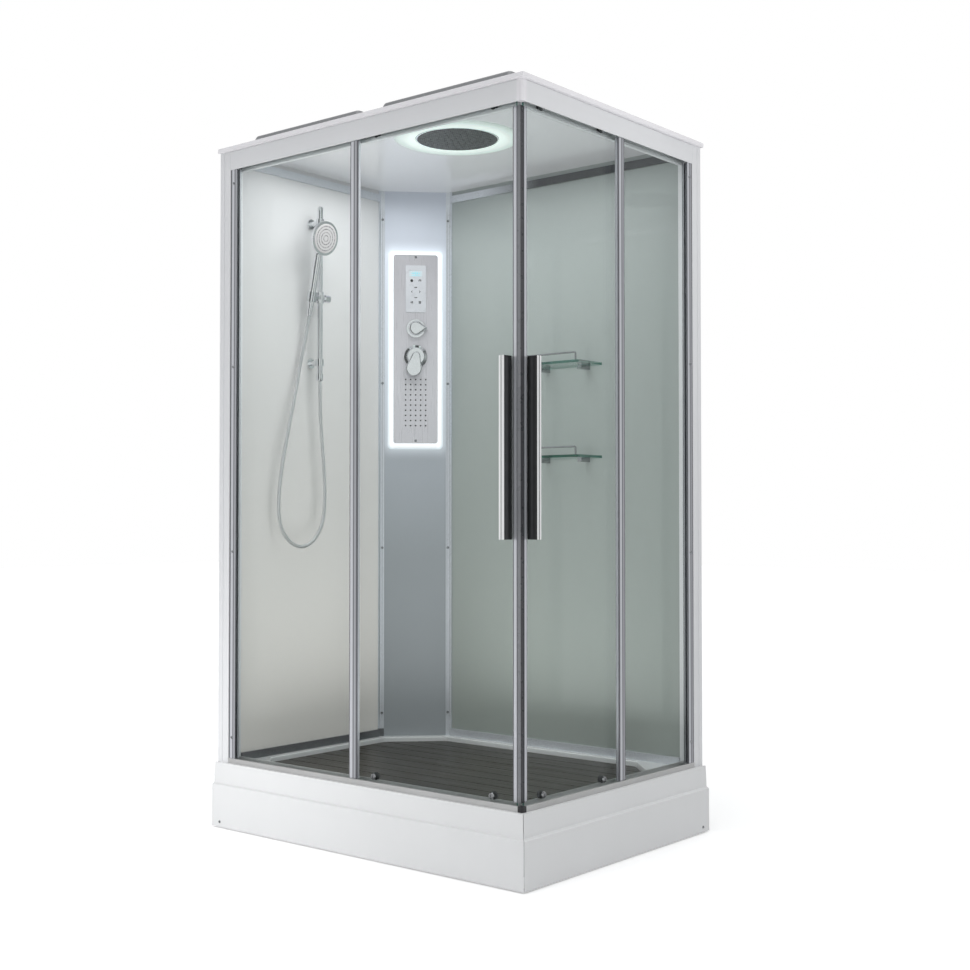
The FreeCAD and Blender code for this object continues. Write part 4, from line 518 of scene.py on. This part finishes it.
def spray_face():
    """Face of the handset: rings of darker nozzles on pale plastic."""
    finish = Finish("handset_face", Metallic=0.2)
    low, high = (Vector(corner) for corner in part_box("handset_face"))
    away = finish.vector_math("DISTANCE", finish.place(), (low + high) / 2)
    turn = finish.math("MULTIPLY", away, 2.0 * math.pi / NOZZLE_PITCH)
    ring = finish.share(finish.math("COSINE", turn), *NOZZLE_RING)
    specks = finish.span(finish.noise(SPECK_SCALE, detail=1.0), *SPECK_NOISE, *SPECK_RANGE)
    holes = finish.math("MULTIPLY", ring, specks)
    finish.set("Base Color", finish.mix(holes, (0.66, 0.63, 0.64), (0.20, 0.19, 0.20)))
    finish.set("Roughness", finish.span(specks, *SPECK_RANGE, 0.28, 0.40))
    return finish.material


def spray_mesh():
    """Dark metal mesh of the rain head's face, a fine square weave."""
    finish = Finish("spray_mesh", Roughness=0.45)
    across = finish.math("SINE", finish.math("MULTIPLY", finish.axis("X"), MESH_PITCH))
    along = finish.math("SINE", finish.math("MULTIPLY", finish.axis("Y"), MESH_PITCH))
    wires = finish.span(finish.math("MULTIPLY", across, along), -1.0, 1.0, 0.0, 0.5)
    clouds = finish.span(finish.noise(MESH_CLOUDS, detail=1.0), *MESH_NOISE, 0.0, 0.5)
    weave = finish.math("ADD", wires, clouds)
    finish.set("Base Color", finish.mix(weave, (0.010, 0.011, 0.012), (0.17, 0.18, 0.18)))
    finish.set("Metallic", finish.span(weave, 0.0, 1.0, 0.2, 0.5))
    finish.bump(weave, 0.5, 0.0006)
    return finish.material


# Walls, shower panel and lit pieces

COLUMN_FOOT = Vector((-0.471, 0.321, 0.0))
COLUMN_TURN = Matrix.Rotation(math.radians(45.0), 4, "Z")
PANEL_HALF_WIDTH = 0.075
PANEL_HALF_HEIGHT = 0.3205
PANEL_LEVEL = 1.507
# Width of the lit surround, and the part of it next to the plate that has full light
HALO_WIDTH = 0.019
HALO_CORE = 0.35
# Painted glow of the surround's light on the column's face
GLOW_REACH = 0.045
GLOW_LEVEL = 0.30
GLOW_COLOUR = (0.92, 0.97, 1.0)
PLATE_LINES = (300.0, 300.0, 5.0)
# Heights over which the plate darkens towards its top, a painted dark reflection
PLATE_RISE = (1.36, 1.78)
PLATE_STREAK = 0.08
# Heights between which walls and column shift from the foot tone to the top tone, painted light and shade over
# height
WALL_RISE = (0.3, 1.9)
COLUMN_RISE = (0.8, 1.9)
WALL_CLOUDS = 2.2
WALL_DRIFT = 0.02
WALL_GRAIN = 30.0
SKIN_ROUGHNESS = 0.03
RING_BRIGHT_TO = 0.132
MARK_DIM = 0.85


def panel_plate():
    """Brushed face of the shower panel, a painted dark reflection deepening towards its top."""
    finish = Finish("brushed_plate", Metallic=0.25)
    height = finish.share(finish.axis("Z"), *PLATE_RISE)
    lines = fine_lines(finish, PLATE_LINES)
    # The tone adds the painted dark reflection over height to the brush streaks
    tone = finish.math("ADD", height, finish.vary(lines, -PLATE_STREAK, PLATE_STREAK))
    finish.set("Base Color", finish.mix(tone, (0.63, 0.615, 0.65), (0.47, 0.455, 0.485)))
    finish.set("Roughness", finish.vary(lines, 0.27, 0.30))
    return finish.material


def panel_reach(finish):
    """Distance from the edge of the shower panel's plate, measured over the column's face."""
    across = (COLUMN_TURN @ Vector((1.0, 0.0, 0.0))).to_tuple()
    place = finish.vector_math("DOT_PRODUCT", finish.place(), across)
    along = finish.math("ABSOLUTE", finish.math("SUBTRACT", place, COLUMN_FOOT.dot(Vector(across))))
    up = finish.math("ABSOLUTE", finish.math("SUBTRACT", finish.axis("Z"), PANEL_LEVEL))
    beside = finish.math("MAXIMUM", finish.math("SUBTRACT", along, PANEL_HALF_WIDTH))
    above = finish.math("MAXIMUM", finish.math("SUBTRACT", up, PANEL_HALF_HEIGHT))
    both = finish.math("ADD", finish.math("POWER", beside, 2.0), finish.math("POWER", above, 2.0))
    return finish.math("SQRT", both)


def wall_board(name, top, foot, rough, coat, rise=WALL_RISE, lit=False):
    """Painted wall, with painted light and shade over its height: the tone shifts between the two heights of rise,
    under a glossy skin; with lit set, a painted glow of the shower panel's surround on the column's face.
    """
    finish = Finish(name, Coat_Weight=coat, Coat_Roughness=SKIN_ROUGHNESS)
    height = finish.share(finish.axis("Z"), *rise)
    drift = finish.vary(finish.noise(WALL_CLOUDS), -WALL_DRIFT, WALL_DRIFT)
    # The base colour's shift with height is painted light and shade
    finish.set("Base Color", finish.mix(finish.math("ADD", height, drift), foot, top))
    finish.set("Roughness", finish.vary(finish.noise(WALL_GRAIN), *rough))
    if lit:
        # Painted glow: the column's face shows the light of the panel's surround as its own emission
        glow = finish.span(panel_reach(finish), HALO_WIDTH, HALO_WIDTH + GLOW_REACH, 1.0, 0.0)
        front = finish.facing((COLUMN_TURN @ Vector((0.0, -1.0, 0.0))).to_tuple())
        level = finish.math("MULTIPLY", finish.math("POWER", glow, 2.0), GLOW_LEVEL)
        finish.set("Emission Color", GLOW_COLOUR)
        finish.set("Emission Strength", finish.math("MULTIPLY", level, front))
    return finish.material


def panel_light():
    """Opal surround of the shower panel: full light beside the plate, softer towards its outer edge."""
    finish = Finish("panel_light", Roughness=0.4)
    fade = finish.share(panel_reach(finish), HALO_WIDTH * HALO_CORE, HALO_WIDTH)
    finish.set("Base Color", finish.mix(finish.noise(20.0), (0.60, 0.64, 0.68), (0.56, 0.60, 0.64)))
    finish.set("Emission Color", finish.mix(fade, (0.82, 0.82, 0.82), (0.30, 0.32, 0.34)))
    finish.set("Emission Strength", 1.0)
    return finish.material


def light_ring():
    """Opal ring, lit most strongly along its inner edge."""
    finish = Finish("light_ring", Roughness=0.4)
    low, high = (Vector(corner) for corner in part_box("light_ring"))
    away = finish.vector_math("DISTANCE", finish.place(), (low + high) / 2)
    fade = finish.share(away, RING_BRIGHT_TO, (high.x - low.x) / 2)
    finish.set("Base Color", finish.mix(finish.noise(20.0), (0.76, 0.79, 0.78), (0.72, 0.75, 0.74)))
    finish.set("Emission Color", finish.mix(fade, (0.46, 0.54, 0.50), (0.10, 0.14, 0.12)))
    finish.set("Emission Strength", 1.0)
    return finish.material


def lit_marks(name, colour, strength):
    finish = Finish(name, Roughness=0.4)
    glow = finish.mix(finish.noise(150.0), colour, tuple(MARK_DIM * part for part in colour))
    finish.set("Base Color", glow)
    finish.set("Emission Color", glow)
    finish.set("Emission Strength", strength)
    return finish.material


# Wood and glass

WOOD_SHEEN = 0.2
GRAIN_STRETCH = (1.5, 34.0, 34.0)
GRAIN_SHARE = 0.7
FIBRE_STRETCH = (2.0, 120.0, 120.0)
FIBRE_SHARE = 0.3
GLASS_TINT = (0.972, 0.986, 0.982)
GLASS_EDGE_TINT = (0.30, 0.56, 0.49)
# Share of the mirror image when looking straight at the glass, and how late it grows towards a flat look
GLASS_GLOSS = 0.014
GLASS_FALLOFF = 5.0


def deck_wood():
    """Dark stained planks with grain and fibre along them."""
    finish = Finish("deck_wood", Specular_IOR_Level=WOOD_SHEEN)
    grain = finish.noise(3.0, GRAIN_STRETCH, detail=6.0)
    fibre = finish.noise(9.0, FIBRE_STRETCH)
    shade = finish.math("ADD", finish.vary(grain, 0.0, GRAIN_SHARE), finish.vary(fibre, 0.0, FIBRE_SHARE))
    finish.set("Base Color", finish.mix(shade, (0.026, 0.023, 0.018), (0.056, 0.051, 0.042)))
    finish.set("Roughness", finish.vary(grain, 0.30, 0.48))
    finish.bump(shade, 0.25, 0.0008)
    return finish.material


def clear_glass(name, edge_direction):
    """Clear toughened glass with a green tint that is strong at the cut edges."""
    finish = Finish(name, Metallic=1.0)
    finish.set("Roughness", finish.vary(finish.noise(8.0), 0.0, 0.03))
    finish.set("Base Color", finish.mix(finish.noise(3.0), (0.90, 0.95, 0.94), (0.96, 0.98, 0.98)))
    far_edge = finish.facing(tuple(-v for v in edge_direction))
    edge = finish.math("MAXIMUM", finish.facing(edge_direction), far_edge)
    clear = finish.node("ShaderNodeBsdfTransparent", Color=finish.mix(edge, GLASS_TINT, GLASS_EDGE_TINT))
    slant = finish.node("ShaderNodeLayerWeight", Blend=0.5)
    flat = finish.math("POWER", slant.outputs["Facing"], GLASS_FALLOFF)
    both = finish.node("ShaderNodeMixShader", Fac=finish.span(flat, 0.0, 1.0, GLASS_GLOSS, 1.0))
    finish.feed(both.inputs[1], clear.outputs["BSDF"])
    finish.feed(both.inputs[2], finish.shader.outputs["BSDF"])
    finish.feed(finish.output.inputs["Surface"], both.outputs["Shader"])
    return finish.material


# Plain finishes of the material slots: light tone, dark tone, range of roughness and, on some, a clear coat

PLASTICS = {
    "white_acrylic": ((0.80, 0.805, 0.81), (0.785, 0.79, 0.795), (0.25, 0.27), 0.3),
    "grey_plastic": ((0.36, 0.37, 0.39), (0.31, 0.32, 0.34), (0.4, 0.55)),
    "white_profile": ((0.79, 0.795, 0.81), (0.775, 0.78, 0.795), (0.30, 0.34)),
    "white_plastic": ((0.90, 0.885, 0.91), (0.885, 0.87, 0.895), (0.12, 0.15), 0.5),
    "black_plastic": ((0.030, 0.030, 0.033), (0.02, 0.02, 0.022), (0.35, 0.5)),
    "control_plastic": ((0.57, 0.575, 0.61), (0.54, 0.545, 0.58), (0.25, 0.35)),
    "roller_plastic": ((0.08, 0.082, 0.086), (0.05, 0.052, 0.055), (0.4, 0.55)),
}
METALS = {
    "frame_steel": ((0.42, 0.43, 0.44), (0.33, 0.34, 0.36), (0.35, 0.55)),
    "chrome_steel": ((0.88, 0.89, 0.90), (0.80, 0.81, 0.83), (0.06, 0.12)),
    "chrome_plastic": ((0.78, 0.79, 0.81), (0.70, 0.71, 0.73), (0.06, 0.12)),
    "brass": ((0.66, 0.52, 0.27), (0.50, 0.38, 0.18), (0.3, 0.5)),
    "chrome_hose": ((0.92, 0.92, 0.93), (0.84, 0.85, 0.86), (0.34, 0.44)),
}
# Painted walls: tone at the top, tone at the foot (their difference is painted light and shade), range of
# roughness, the glossy skin and, for the column, its heights of rise and its painted glow
WALLS = {
    "pale_wall_glass": ((0.655, 0.655, 0.665), (0.88, 0.84, 0.80), (0.3, 0.4), 0.4),
    "grey_wall_glass": ((0.345, 0.380, 0.372), (0.335, 0.372, 0.345), (0.3, 0.4), 1.0),
    "column_board": ((0.60, 0.632, 0.715), (0.33, 0.353, 0.375), (0.46, 0.50), 0.0, COLUMN_RISE, True),
}
# Nodes that differ from their slot: name of the finish, then the values of a plain one
# The hangers' chrome is toned down to grey, a painted dark reflection
HANGER_STEEL = ((0.40, 0.41, 0.42), (0.30, 0.31, 0.32), (0.10, 0.20))
OWN_PLASTICS = {
    "roof_covers": ("roof_cover", (0.295, 0.30, 0.31), (0.28, 0.285, 0.295), (0.4, 0.5)),
    "front_door_seal": ("front_seal", (0.24, 0.245, 0.26), (0.20, 0.205, 0.22), (0.25, 0.35)),
    "side_door_seal": ("side_seal", (0.060, 0.062, 0.068), (0.045, 0.047, 0.052), (0.25, 0.35)),
    "jet_mat": ("jet_rubber", (0.014, 0.014, 0.015), (0.022, 0.022, 0.023), (0.5, 0.7)),
}
OWN_METALS = {
    "front_door_hangers": ("front_hanger", *HANGER_STEEL),
    "side_door_hangers": ("side_hanger", *HANGER_STEEL),
    "shelf_brackets": ("shelf_metal", (0.44, 0.45, 0.46), (0.34, 0.35, 0.36), (0.06, 0.14)),
    "frame_screws": ("screw_metal", (0.34, 0.35, 0.36), (0.22, 0.23, 0.24), (0.22, 0.34)),
    "handset": ("handset_chrome", (0.92, 0.92, 0.94), (0.86, 0.86, 0.88), (0.16, 0.24)),
    "slider": ("slider_chrome", (0.92, 0.92, 0.94), (0.86, 0.86, 0.88), (0.14, 0.22)),
}
SATIN_ALUMINIUM = ((0.66, 0.66, 0.66), (0.58, 0.58, 0.58), (0.30, 0.42), 0.6)


def make_materials():
    """Finishes by material slot, for all slots but those whose nodes each have their own."""
    made = {
        "deck_wood": deck_wood(),
        "satin_aluminium": drawn_metal("satin_aluminium", *SATIN_ALUMINIUM),
        "bright_aluminium": extruded_metal("bright_aluminium", PROFILE_PITCH, PROFILE_START),
        "clear_glass": clear_glass("clear_glass", (0.0, 0.0, 1.0)),
        "lit_diffuser": panel_light(),
        "brushed_plate": panel_plate(),
        "grip_metal": grip_metal("grip_metal", (0.0, -1.0, 0.0)),
    }
    for make, looks in ((moulded_plastic, PLASTICS), (polished_metal, METALS), (wall_board, WALLS)):
        made.update({slot: make(slot, *look) for slot, look in looks.items()})
    return made


def dress_nodes(materials):
    """Gives every CAD node its own finish where it has one, or else the finish of its slot."""
    own = {
        "front_door_glass": clear_glass("front_door_glass", (1.0, 0.0, 0.0)),
        "side_door_glass": clear_glass("side_door_glass", (0.0, 1.0, 0.0)),
        "shelf_glass": clear_glass("shelf_glass", (0.0, 1.0, 0.0)),
        "side_door_handle": grip_metal("side_grip_metal", (1.0, 0.0, 0.0)),
        "front_door_stile": extruded_metal("front_stile", DOOR_STILE_PITCH, FRONT_STILE_START),
        "side_door_stile": extruded_metal("side_stile", DOOR_STILE_PITCH, SIDE_STILE_START),
        "light_ring": light_ring(),
        "rain_head_face": spray_mesh(),
        "handset_face": spray_face(),
        "wall_trims": trim_metal(),
    }
    for make, looks in ((moulded_plastic, OWN_PLASTICS), (polished_metal, OWN_METALS)):
        own.update({node: make(*look) for node, look in looks.items()})
    slots = {part["node"]: part["material_slot"] for part in frame["record"]["subparts"]}
    for node, piece in frame["nodes"].items():
        piece.data.materials.clear()
        piece.data.materials.append(own[node] if node in own else materials[slots[node]])


# Soft edges on crisp sheet parts

EDGE_ROUNDS = {"roof_panel": 0.0025}
EDGE_STEPS = 3
EDGE_ANGLE = 35.0
WELD_REACH = 0.00001


def soften_edges():
    for node, radius in EDGE_ROUNDS.items():
        piece = frame["nodes"][node]
        weld = piece.modifiers.new("weld", "WELD")
        weld.merge_threshold = WELD_REACH
        bevel = piece.modifiers.new("bevel", "BEVEL")
        bevel.width = radius
        bevel.segments = EDGE_STEPS
        bevel.limit_method = "ANGLE"
        bevel.angle_limit = math.radians(EDGE_ANGLE)
        normals = piece.modifiers.new("normals", "WEIGHTED_NORMAL")
        normals.keep_sharp = False


# Display and key marks of the control unit, on the diagonal column

CONTROL_LEVEL = 1.711
CONTROL_FRONT = 0.0365
DISPLAY_SIZE = (0.0436, 0.0202)
DISPLAY_CORNER = 0.002
DISPLAY_RISE = 0.052
DISPLAY_SUNK = 0.0010
DISPLAY_THICK = 0.0006
SEGMENT_HEIGHTS = (0.005, 0.008, 0.011, 0.008, 0.005)
SEGMENT_WIDTH = 0.0034
SEGMENT_PITCH = 0.0062
SEGMENT_LIFT = 0.001
BASE_LINE = (0.030, 0.0018)
BASE_LINE_DROP = 0.0072
KEY_RAISE = 0.0006
MARK_THICK = 0.00025
BAR_ROUND = 0.45
BAR_STEPS = 3
CHEVRON_NOTCH = 1.4


def on_column(x, z, out):
    """A point on the column: x across, z up from the middle of the control unit, out from the column's face."""
    return COLUMN_FOOT + COLUMN_TURN @ Vector((x, -out, CONTROL_LEVEL + z))


def bar(width, height):
    return rounded_outline(width, height, min(width, height) * BAR_ROUND, BAR_STEPS)


def arc(radius, width, start, end, steps=12):
    """Outline of a flat arc strip about (0, 0), from one angle to another in degrees."""
    angles = [math.radians(start + (end - start) * step / steps) for step in range(steps + 1)]
    outside = [((radius + width / 2) * math.cos(a), (radius + width / 2) * math.sin(a)) for a in angles]
    inside = [((radius - width / 2) * math.cos(a), (radius - width / 2) * math.sin(a)) for a in angles]
    return outside + inside[::-1]


def chevron(half, rise, width, turn):
    """Outline of an arrow head that points up before it is turned, in degrees."""
    points = (
        (-half, -rise),
        (0.0, rise),
        (half, -rise),
        (half - width, -rise),
        (0.0, rise - CHEVRON_NOTCH * width),
        (width - half, -rise),
    )
    cos, sin = math.cos(math.radians(turn)), math.sin(math.radians(turn))
    return [(x * cos - y * sin, x * sin + y * cos) for x, y in points]


# Places of the keys on the control unit, and the plain mark on each
KEY_ASIDE = 0.0138
KEY_TOP = 0.0278
KEY_FOOT = -0.0459
ARROW_LEVEL = -0.0096
ARROW = (0.0047, 0.0024, 0.0022)
KEY_MARKS = (
    (-KEY_ASIDE, KEY_TOP, [rounded_outline(0.0096, 0.0096, 0.0047)]),
    (KEY_ASIDE, KEY_TOP, [arc(0.0037, 0.0018, -50.0, 230.0), moved(bar(0.0018, 0.0050), 0.0, 0.0021)]),
    (-KEY_ASIDE, KEY_FOOT, [moved(bar(0.0022, 0.0046 + 0.0018 * n), 0.0029 * (n - 1), 0.0) for n in range(3)]),
    (KEY_ASIDE, KEY_FOOT, [moved(bar(0.0086, 0.0020), 0.0, 0.0030 * (n - 1)) for n in range(3)]),
    (0.0, 0.0051, [bar(0.0096, 0.0030)]),
    (-KEY_ASIDE, ARROW_LEVEL, [chevron(*ARROW, 90.0)]),
    (0.0, -0.0243, [arc(0.0060, 0.0020, 220.0, 320.0)]),
    (KEY_ASIDE, ARROW_LEVEL, [chevron(*ARROW, 270.0)]),
)


def make_key_marks(material):
    low = CONTROL_FRONT + KEY_RAISE

    def build(form):
        for along, up, outlines in KEY_MARKS:
            for outline in outlines:
                add_prism(form, moved(outline, along, up), on_column, low, low + MARK_THICK)

    add_piece("key_marks", mesh_from("key_marks", build), material, "cabin")


def make_display(glass, marks):
    """A sunk pane with five plain bars over a line, which say nothing."""
    floor = CONTROL_FRONT - DISPLAY_SUNK

    def pane(form):
        outline = moved(rounded_outline(*DISPLAY_SIZE, DISPLAY_CORNER), 0.0, DISPLAY_RISE)
        add_prism(form, outline, on_column, floor, floor + DISPLAY_THICK)

    def segments(form):
        low = floor + DISPLAY_THICK
        middle = len(SEGMENT_HEIGHTS) // 2
        outlines = [
            moved(bar(SEGMENT_WIDTH, height), SEGMENT_PITCH * (column - middle), DISPLAY_RISE + SEGMENT_LIFT)
            for column, height in enumerate(SEGMENT_HEIGHTS)
        ]
        outlines.append(moved(bar(*BASE_LINE), 0.0, DISPLAY_RISE - BASE_LINE_DROP))
        for outline in outlines:
            add_prism(form, outline, on_column, low, low + MARK_THICK)

    add_piece("display_pane", mesh_from("display_pane", pane), glass, "cabin")
    add_piece("display_segments", mesh_from("display_segments", segments), marks, "cabin")


# Floor, world and lamps

FLOOR_HALF = 20.0
FLOOR_LIFT = 0.28
WORLD_LEVEL = 0.55
WORLD_TINT = (0.97, 0.985, 1.0, 1.0)
WHITE = (1.0, 1.0, 1.0, 1.0)
SUN_LEVEL = 1.04
SUN_SPREAD = 50.0
SUN_FROM = (0.0, -0.10, 1.0)
# Lamps: place, the point they look at, width and height, power
LAMPS = {
    "ceiling": ((0.0, -0.08, 2.02), (0.0, -0.08, 0.0), (0.9, 0.55), 4.9),
    "deck_bounce": ((0.12, -0.05, 0.30), (0.12, -0.05, 2.0), (0.7, 0.5), 2.5),
    "low_front": ((-0.50, -1.32, 0.27), (-0.1, -0.45, 0.2), (0.9, 0.25), 3.1),
    "high_front": ((-0.90, -1.50, 2.20), (-0.35, -0.43, 2.0), (0.5, 0.5), 0.7),
    "foot_wash": ((0.15, -0.05, 0.36), (-0.55, 0.05, 0.30), (0.5, 0.12), 0.2),
    "wall_wash": ((0.05, -0.33, 1.65), (-0.55, -0.32, 1.70), (0.3, 0.5), 0.42),
    "high_side": ((1.63, 0.03, 2.14), (0.58, 0.1, 1.6), (0.5, 0.5), 2.6),
}
# Brightness of the studio as metal sees it, from the front left round to the back right
STUDIO_AXIS = (0.636, 0.772, 0.0)
STUDIO_BANDS = (
    (0.0, 0.66),
    (0.06, 0.66),
    (0.11, 0.08),
    (0.29, 0.10),
    (0.37, 0.92),
    (0.60, 0.90),
    (0.66, 0.12),
    (0.74, 0.12),
    (0.82, 0.95),
    (0.94, 0.52),
)


def make_floor():
    """White floor that the camera sees a little lighter than it is lit, and that no mirror image shows."""

    def build(form):
        corners = ((-1, -1), (1, -1), (1, 1), (-1, 1))
        form.faces.new([form.verts.new((x * FLOOR_HALF, y * FLOOR_HALF, 0.0)) for x, y in corners])

    mesh = mesh_from("floor", build)
    floor = bpy.data.objects.new("floor", mesh)
    scene.collection.objects.link(floor)
    finish = Finish("floor", Roughness=0.9)
    finish.set("Base Color", finish.mix(finish.noise(3.0), (0.93, 0.93, 0.93), (0.95, 0.95, 0.95)))
    glow = finish.node("ShaderNodeEmission", Strength=FLOOR_LIFT)
    path = finish.node("ShaderNodeLightPath")
    seen = finish.node("ShaderNodeMixShader", Fac=path.outputs["Is Camera Ray"])
    lit = finish.node("ShaderNodeAddShader")
    finish.feed(lit.inputs[0], finish.shader.outputs["BSDF"])
    finish.feed(lit.inputs[1], glow.outputs["Emission"])
    finish.feed(seen.inputs[1], finish.shader.outputs["BSDF"])
    finish.feed(seen.inputs[2], lit.outputs["Shader"])
    finish.feed(finish.output.inputs["Surface"], seen.outputs["Shader"])
    mesh.materials.append(finish.material)
    floor.visible_glossy = False


def make_world():
    """Soft light all round, white for the camera, and bright and dark bands for mirror images."""
    world = bpy.data.worlds.new("studio")
    scene.world = world
    world.use_nodes = True
    tree = world.node_tree
    tree.nodes.clear()
    new, link = tree.nodes.new, tree.links.new

    path = new("ShaderNodeLightPath")
    coords = new("ShaderNodeTexCoord")
    along = new("ShaderNodeVectorMath")
    along.operation = "DOT_PRODUCT"
    along.inputs[1].default_value = STUDIO_AXIS
    link(coords.outputs["Generated"], along.inputs[0])
    spread = new("ShaderNodeMapRange")
    spread.inputs["From Min"].default_value = -1.0
    link(along.outputs["Value"], spread.inputs["Value"])
    bands = new("ShaderNodeValToRGB")
    fill_ramp(bands.color_ramp, STUDIO_BANDS)
    link(spread.outputs["Result"], bands.inputs["Fac"])

    white = new("ShaderNodeBackground")
    white.inputs["Color"].default_value = WHITE
    soft = new("ShaderNodeBackground")
    soft.inputs["Color"].default_value = WORLD_TINT
    soft.inputs["Strength"].default_value = WORLD_LEVEL
    mirror = new("ShaderNodeBackground")
    link(bands.outputs["Color"], mirror.inputs["Color"])

    seen = new("ShaderNodeMath")
    seen.operation = "MAXIMUM"
    link(path.outputs["Is Camera Ray"], seen.inputs[0])
    link(path.outputs["Is Transmission Ray"], seen.inputs[1])
    shiny = new("ShaderNodeMixShader")
    link(path.outputs["Is Glossy Ray"], shiny.inputs["Fac"])
    link(soft.outputs["Background"], shiny.inputs[1])
    link(mirror.outputs["Background"], shiny.inputs[2])
    shown = new("ShaderNodeMixShader")
    link(seen.outputs["Value"], shown.inputs["Fac"])
    link(shiny.outputs["Shader"], shown.inputs[1])
    link(white.outputs["Background"], shown.inputs[2])
    output = new("ShaderNodeOutputWorld")
    link(shown.outputs["Shader"], output.inputs["Surface"])


def make_lamps():
    """The lit ring, its bounce off the deck, washes on the left wall, and soft boxes at the front and the side."""
    for name, (place, aim, size, power) in LAMPS.items():
        data = bpy.data.lights.new(name, "AREA")
        data.shape = "RECTANGLE"
        data.size, data.size_y = size
        data.energy = power
        lamp = bpy.data.objects.new(name, data)
        lamp.location = place
        lamp.rotation_euler = (Vector(place) - Vector(aim)).to_track_quat("Z", "Y").to_euler()
        lamp.visible_camera = False
        lamp.visible_glossy = False
        scene.collection.objects.link(lamp)


def make_sun():
    data = bpy.data.lights.new("key", "SUN")
    data.energy = SUN_LEVEL
    data.angle = math.radians(SUN_SPREAD)
    sun = bpy.data.objects.new("key", data)
    sun.rotation_euler = Vector(SUN_FROM).to_track_quat("Z", "Y").to_euler()
    scene.collection.objects.link(sun)


make_camera()
materials = make_materials()
make_hose(materials["chrome_hose"])
dress_nodes(materials)
soften_edges()
make_display(
    moulded_plastic("display_pane", (0.62, 0.70, 0.74), (0.56, 0.64, 0.69), (0.10, 0.18), coat=1.0),
    lit_marks("display_segments", (0.20, 0.62, 0.72), 0.25),
)
make_key_marks(materials["black_plastic"])
make_floor()
make_world()
make_sun()
make_lamps()
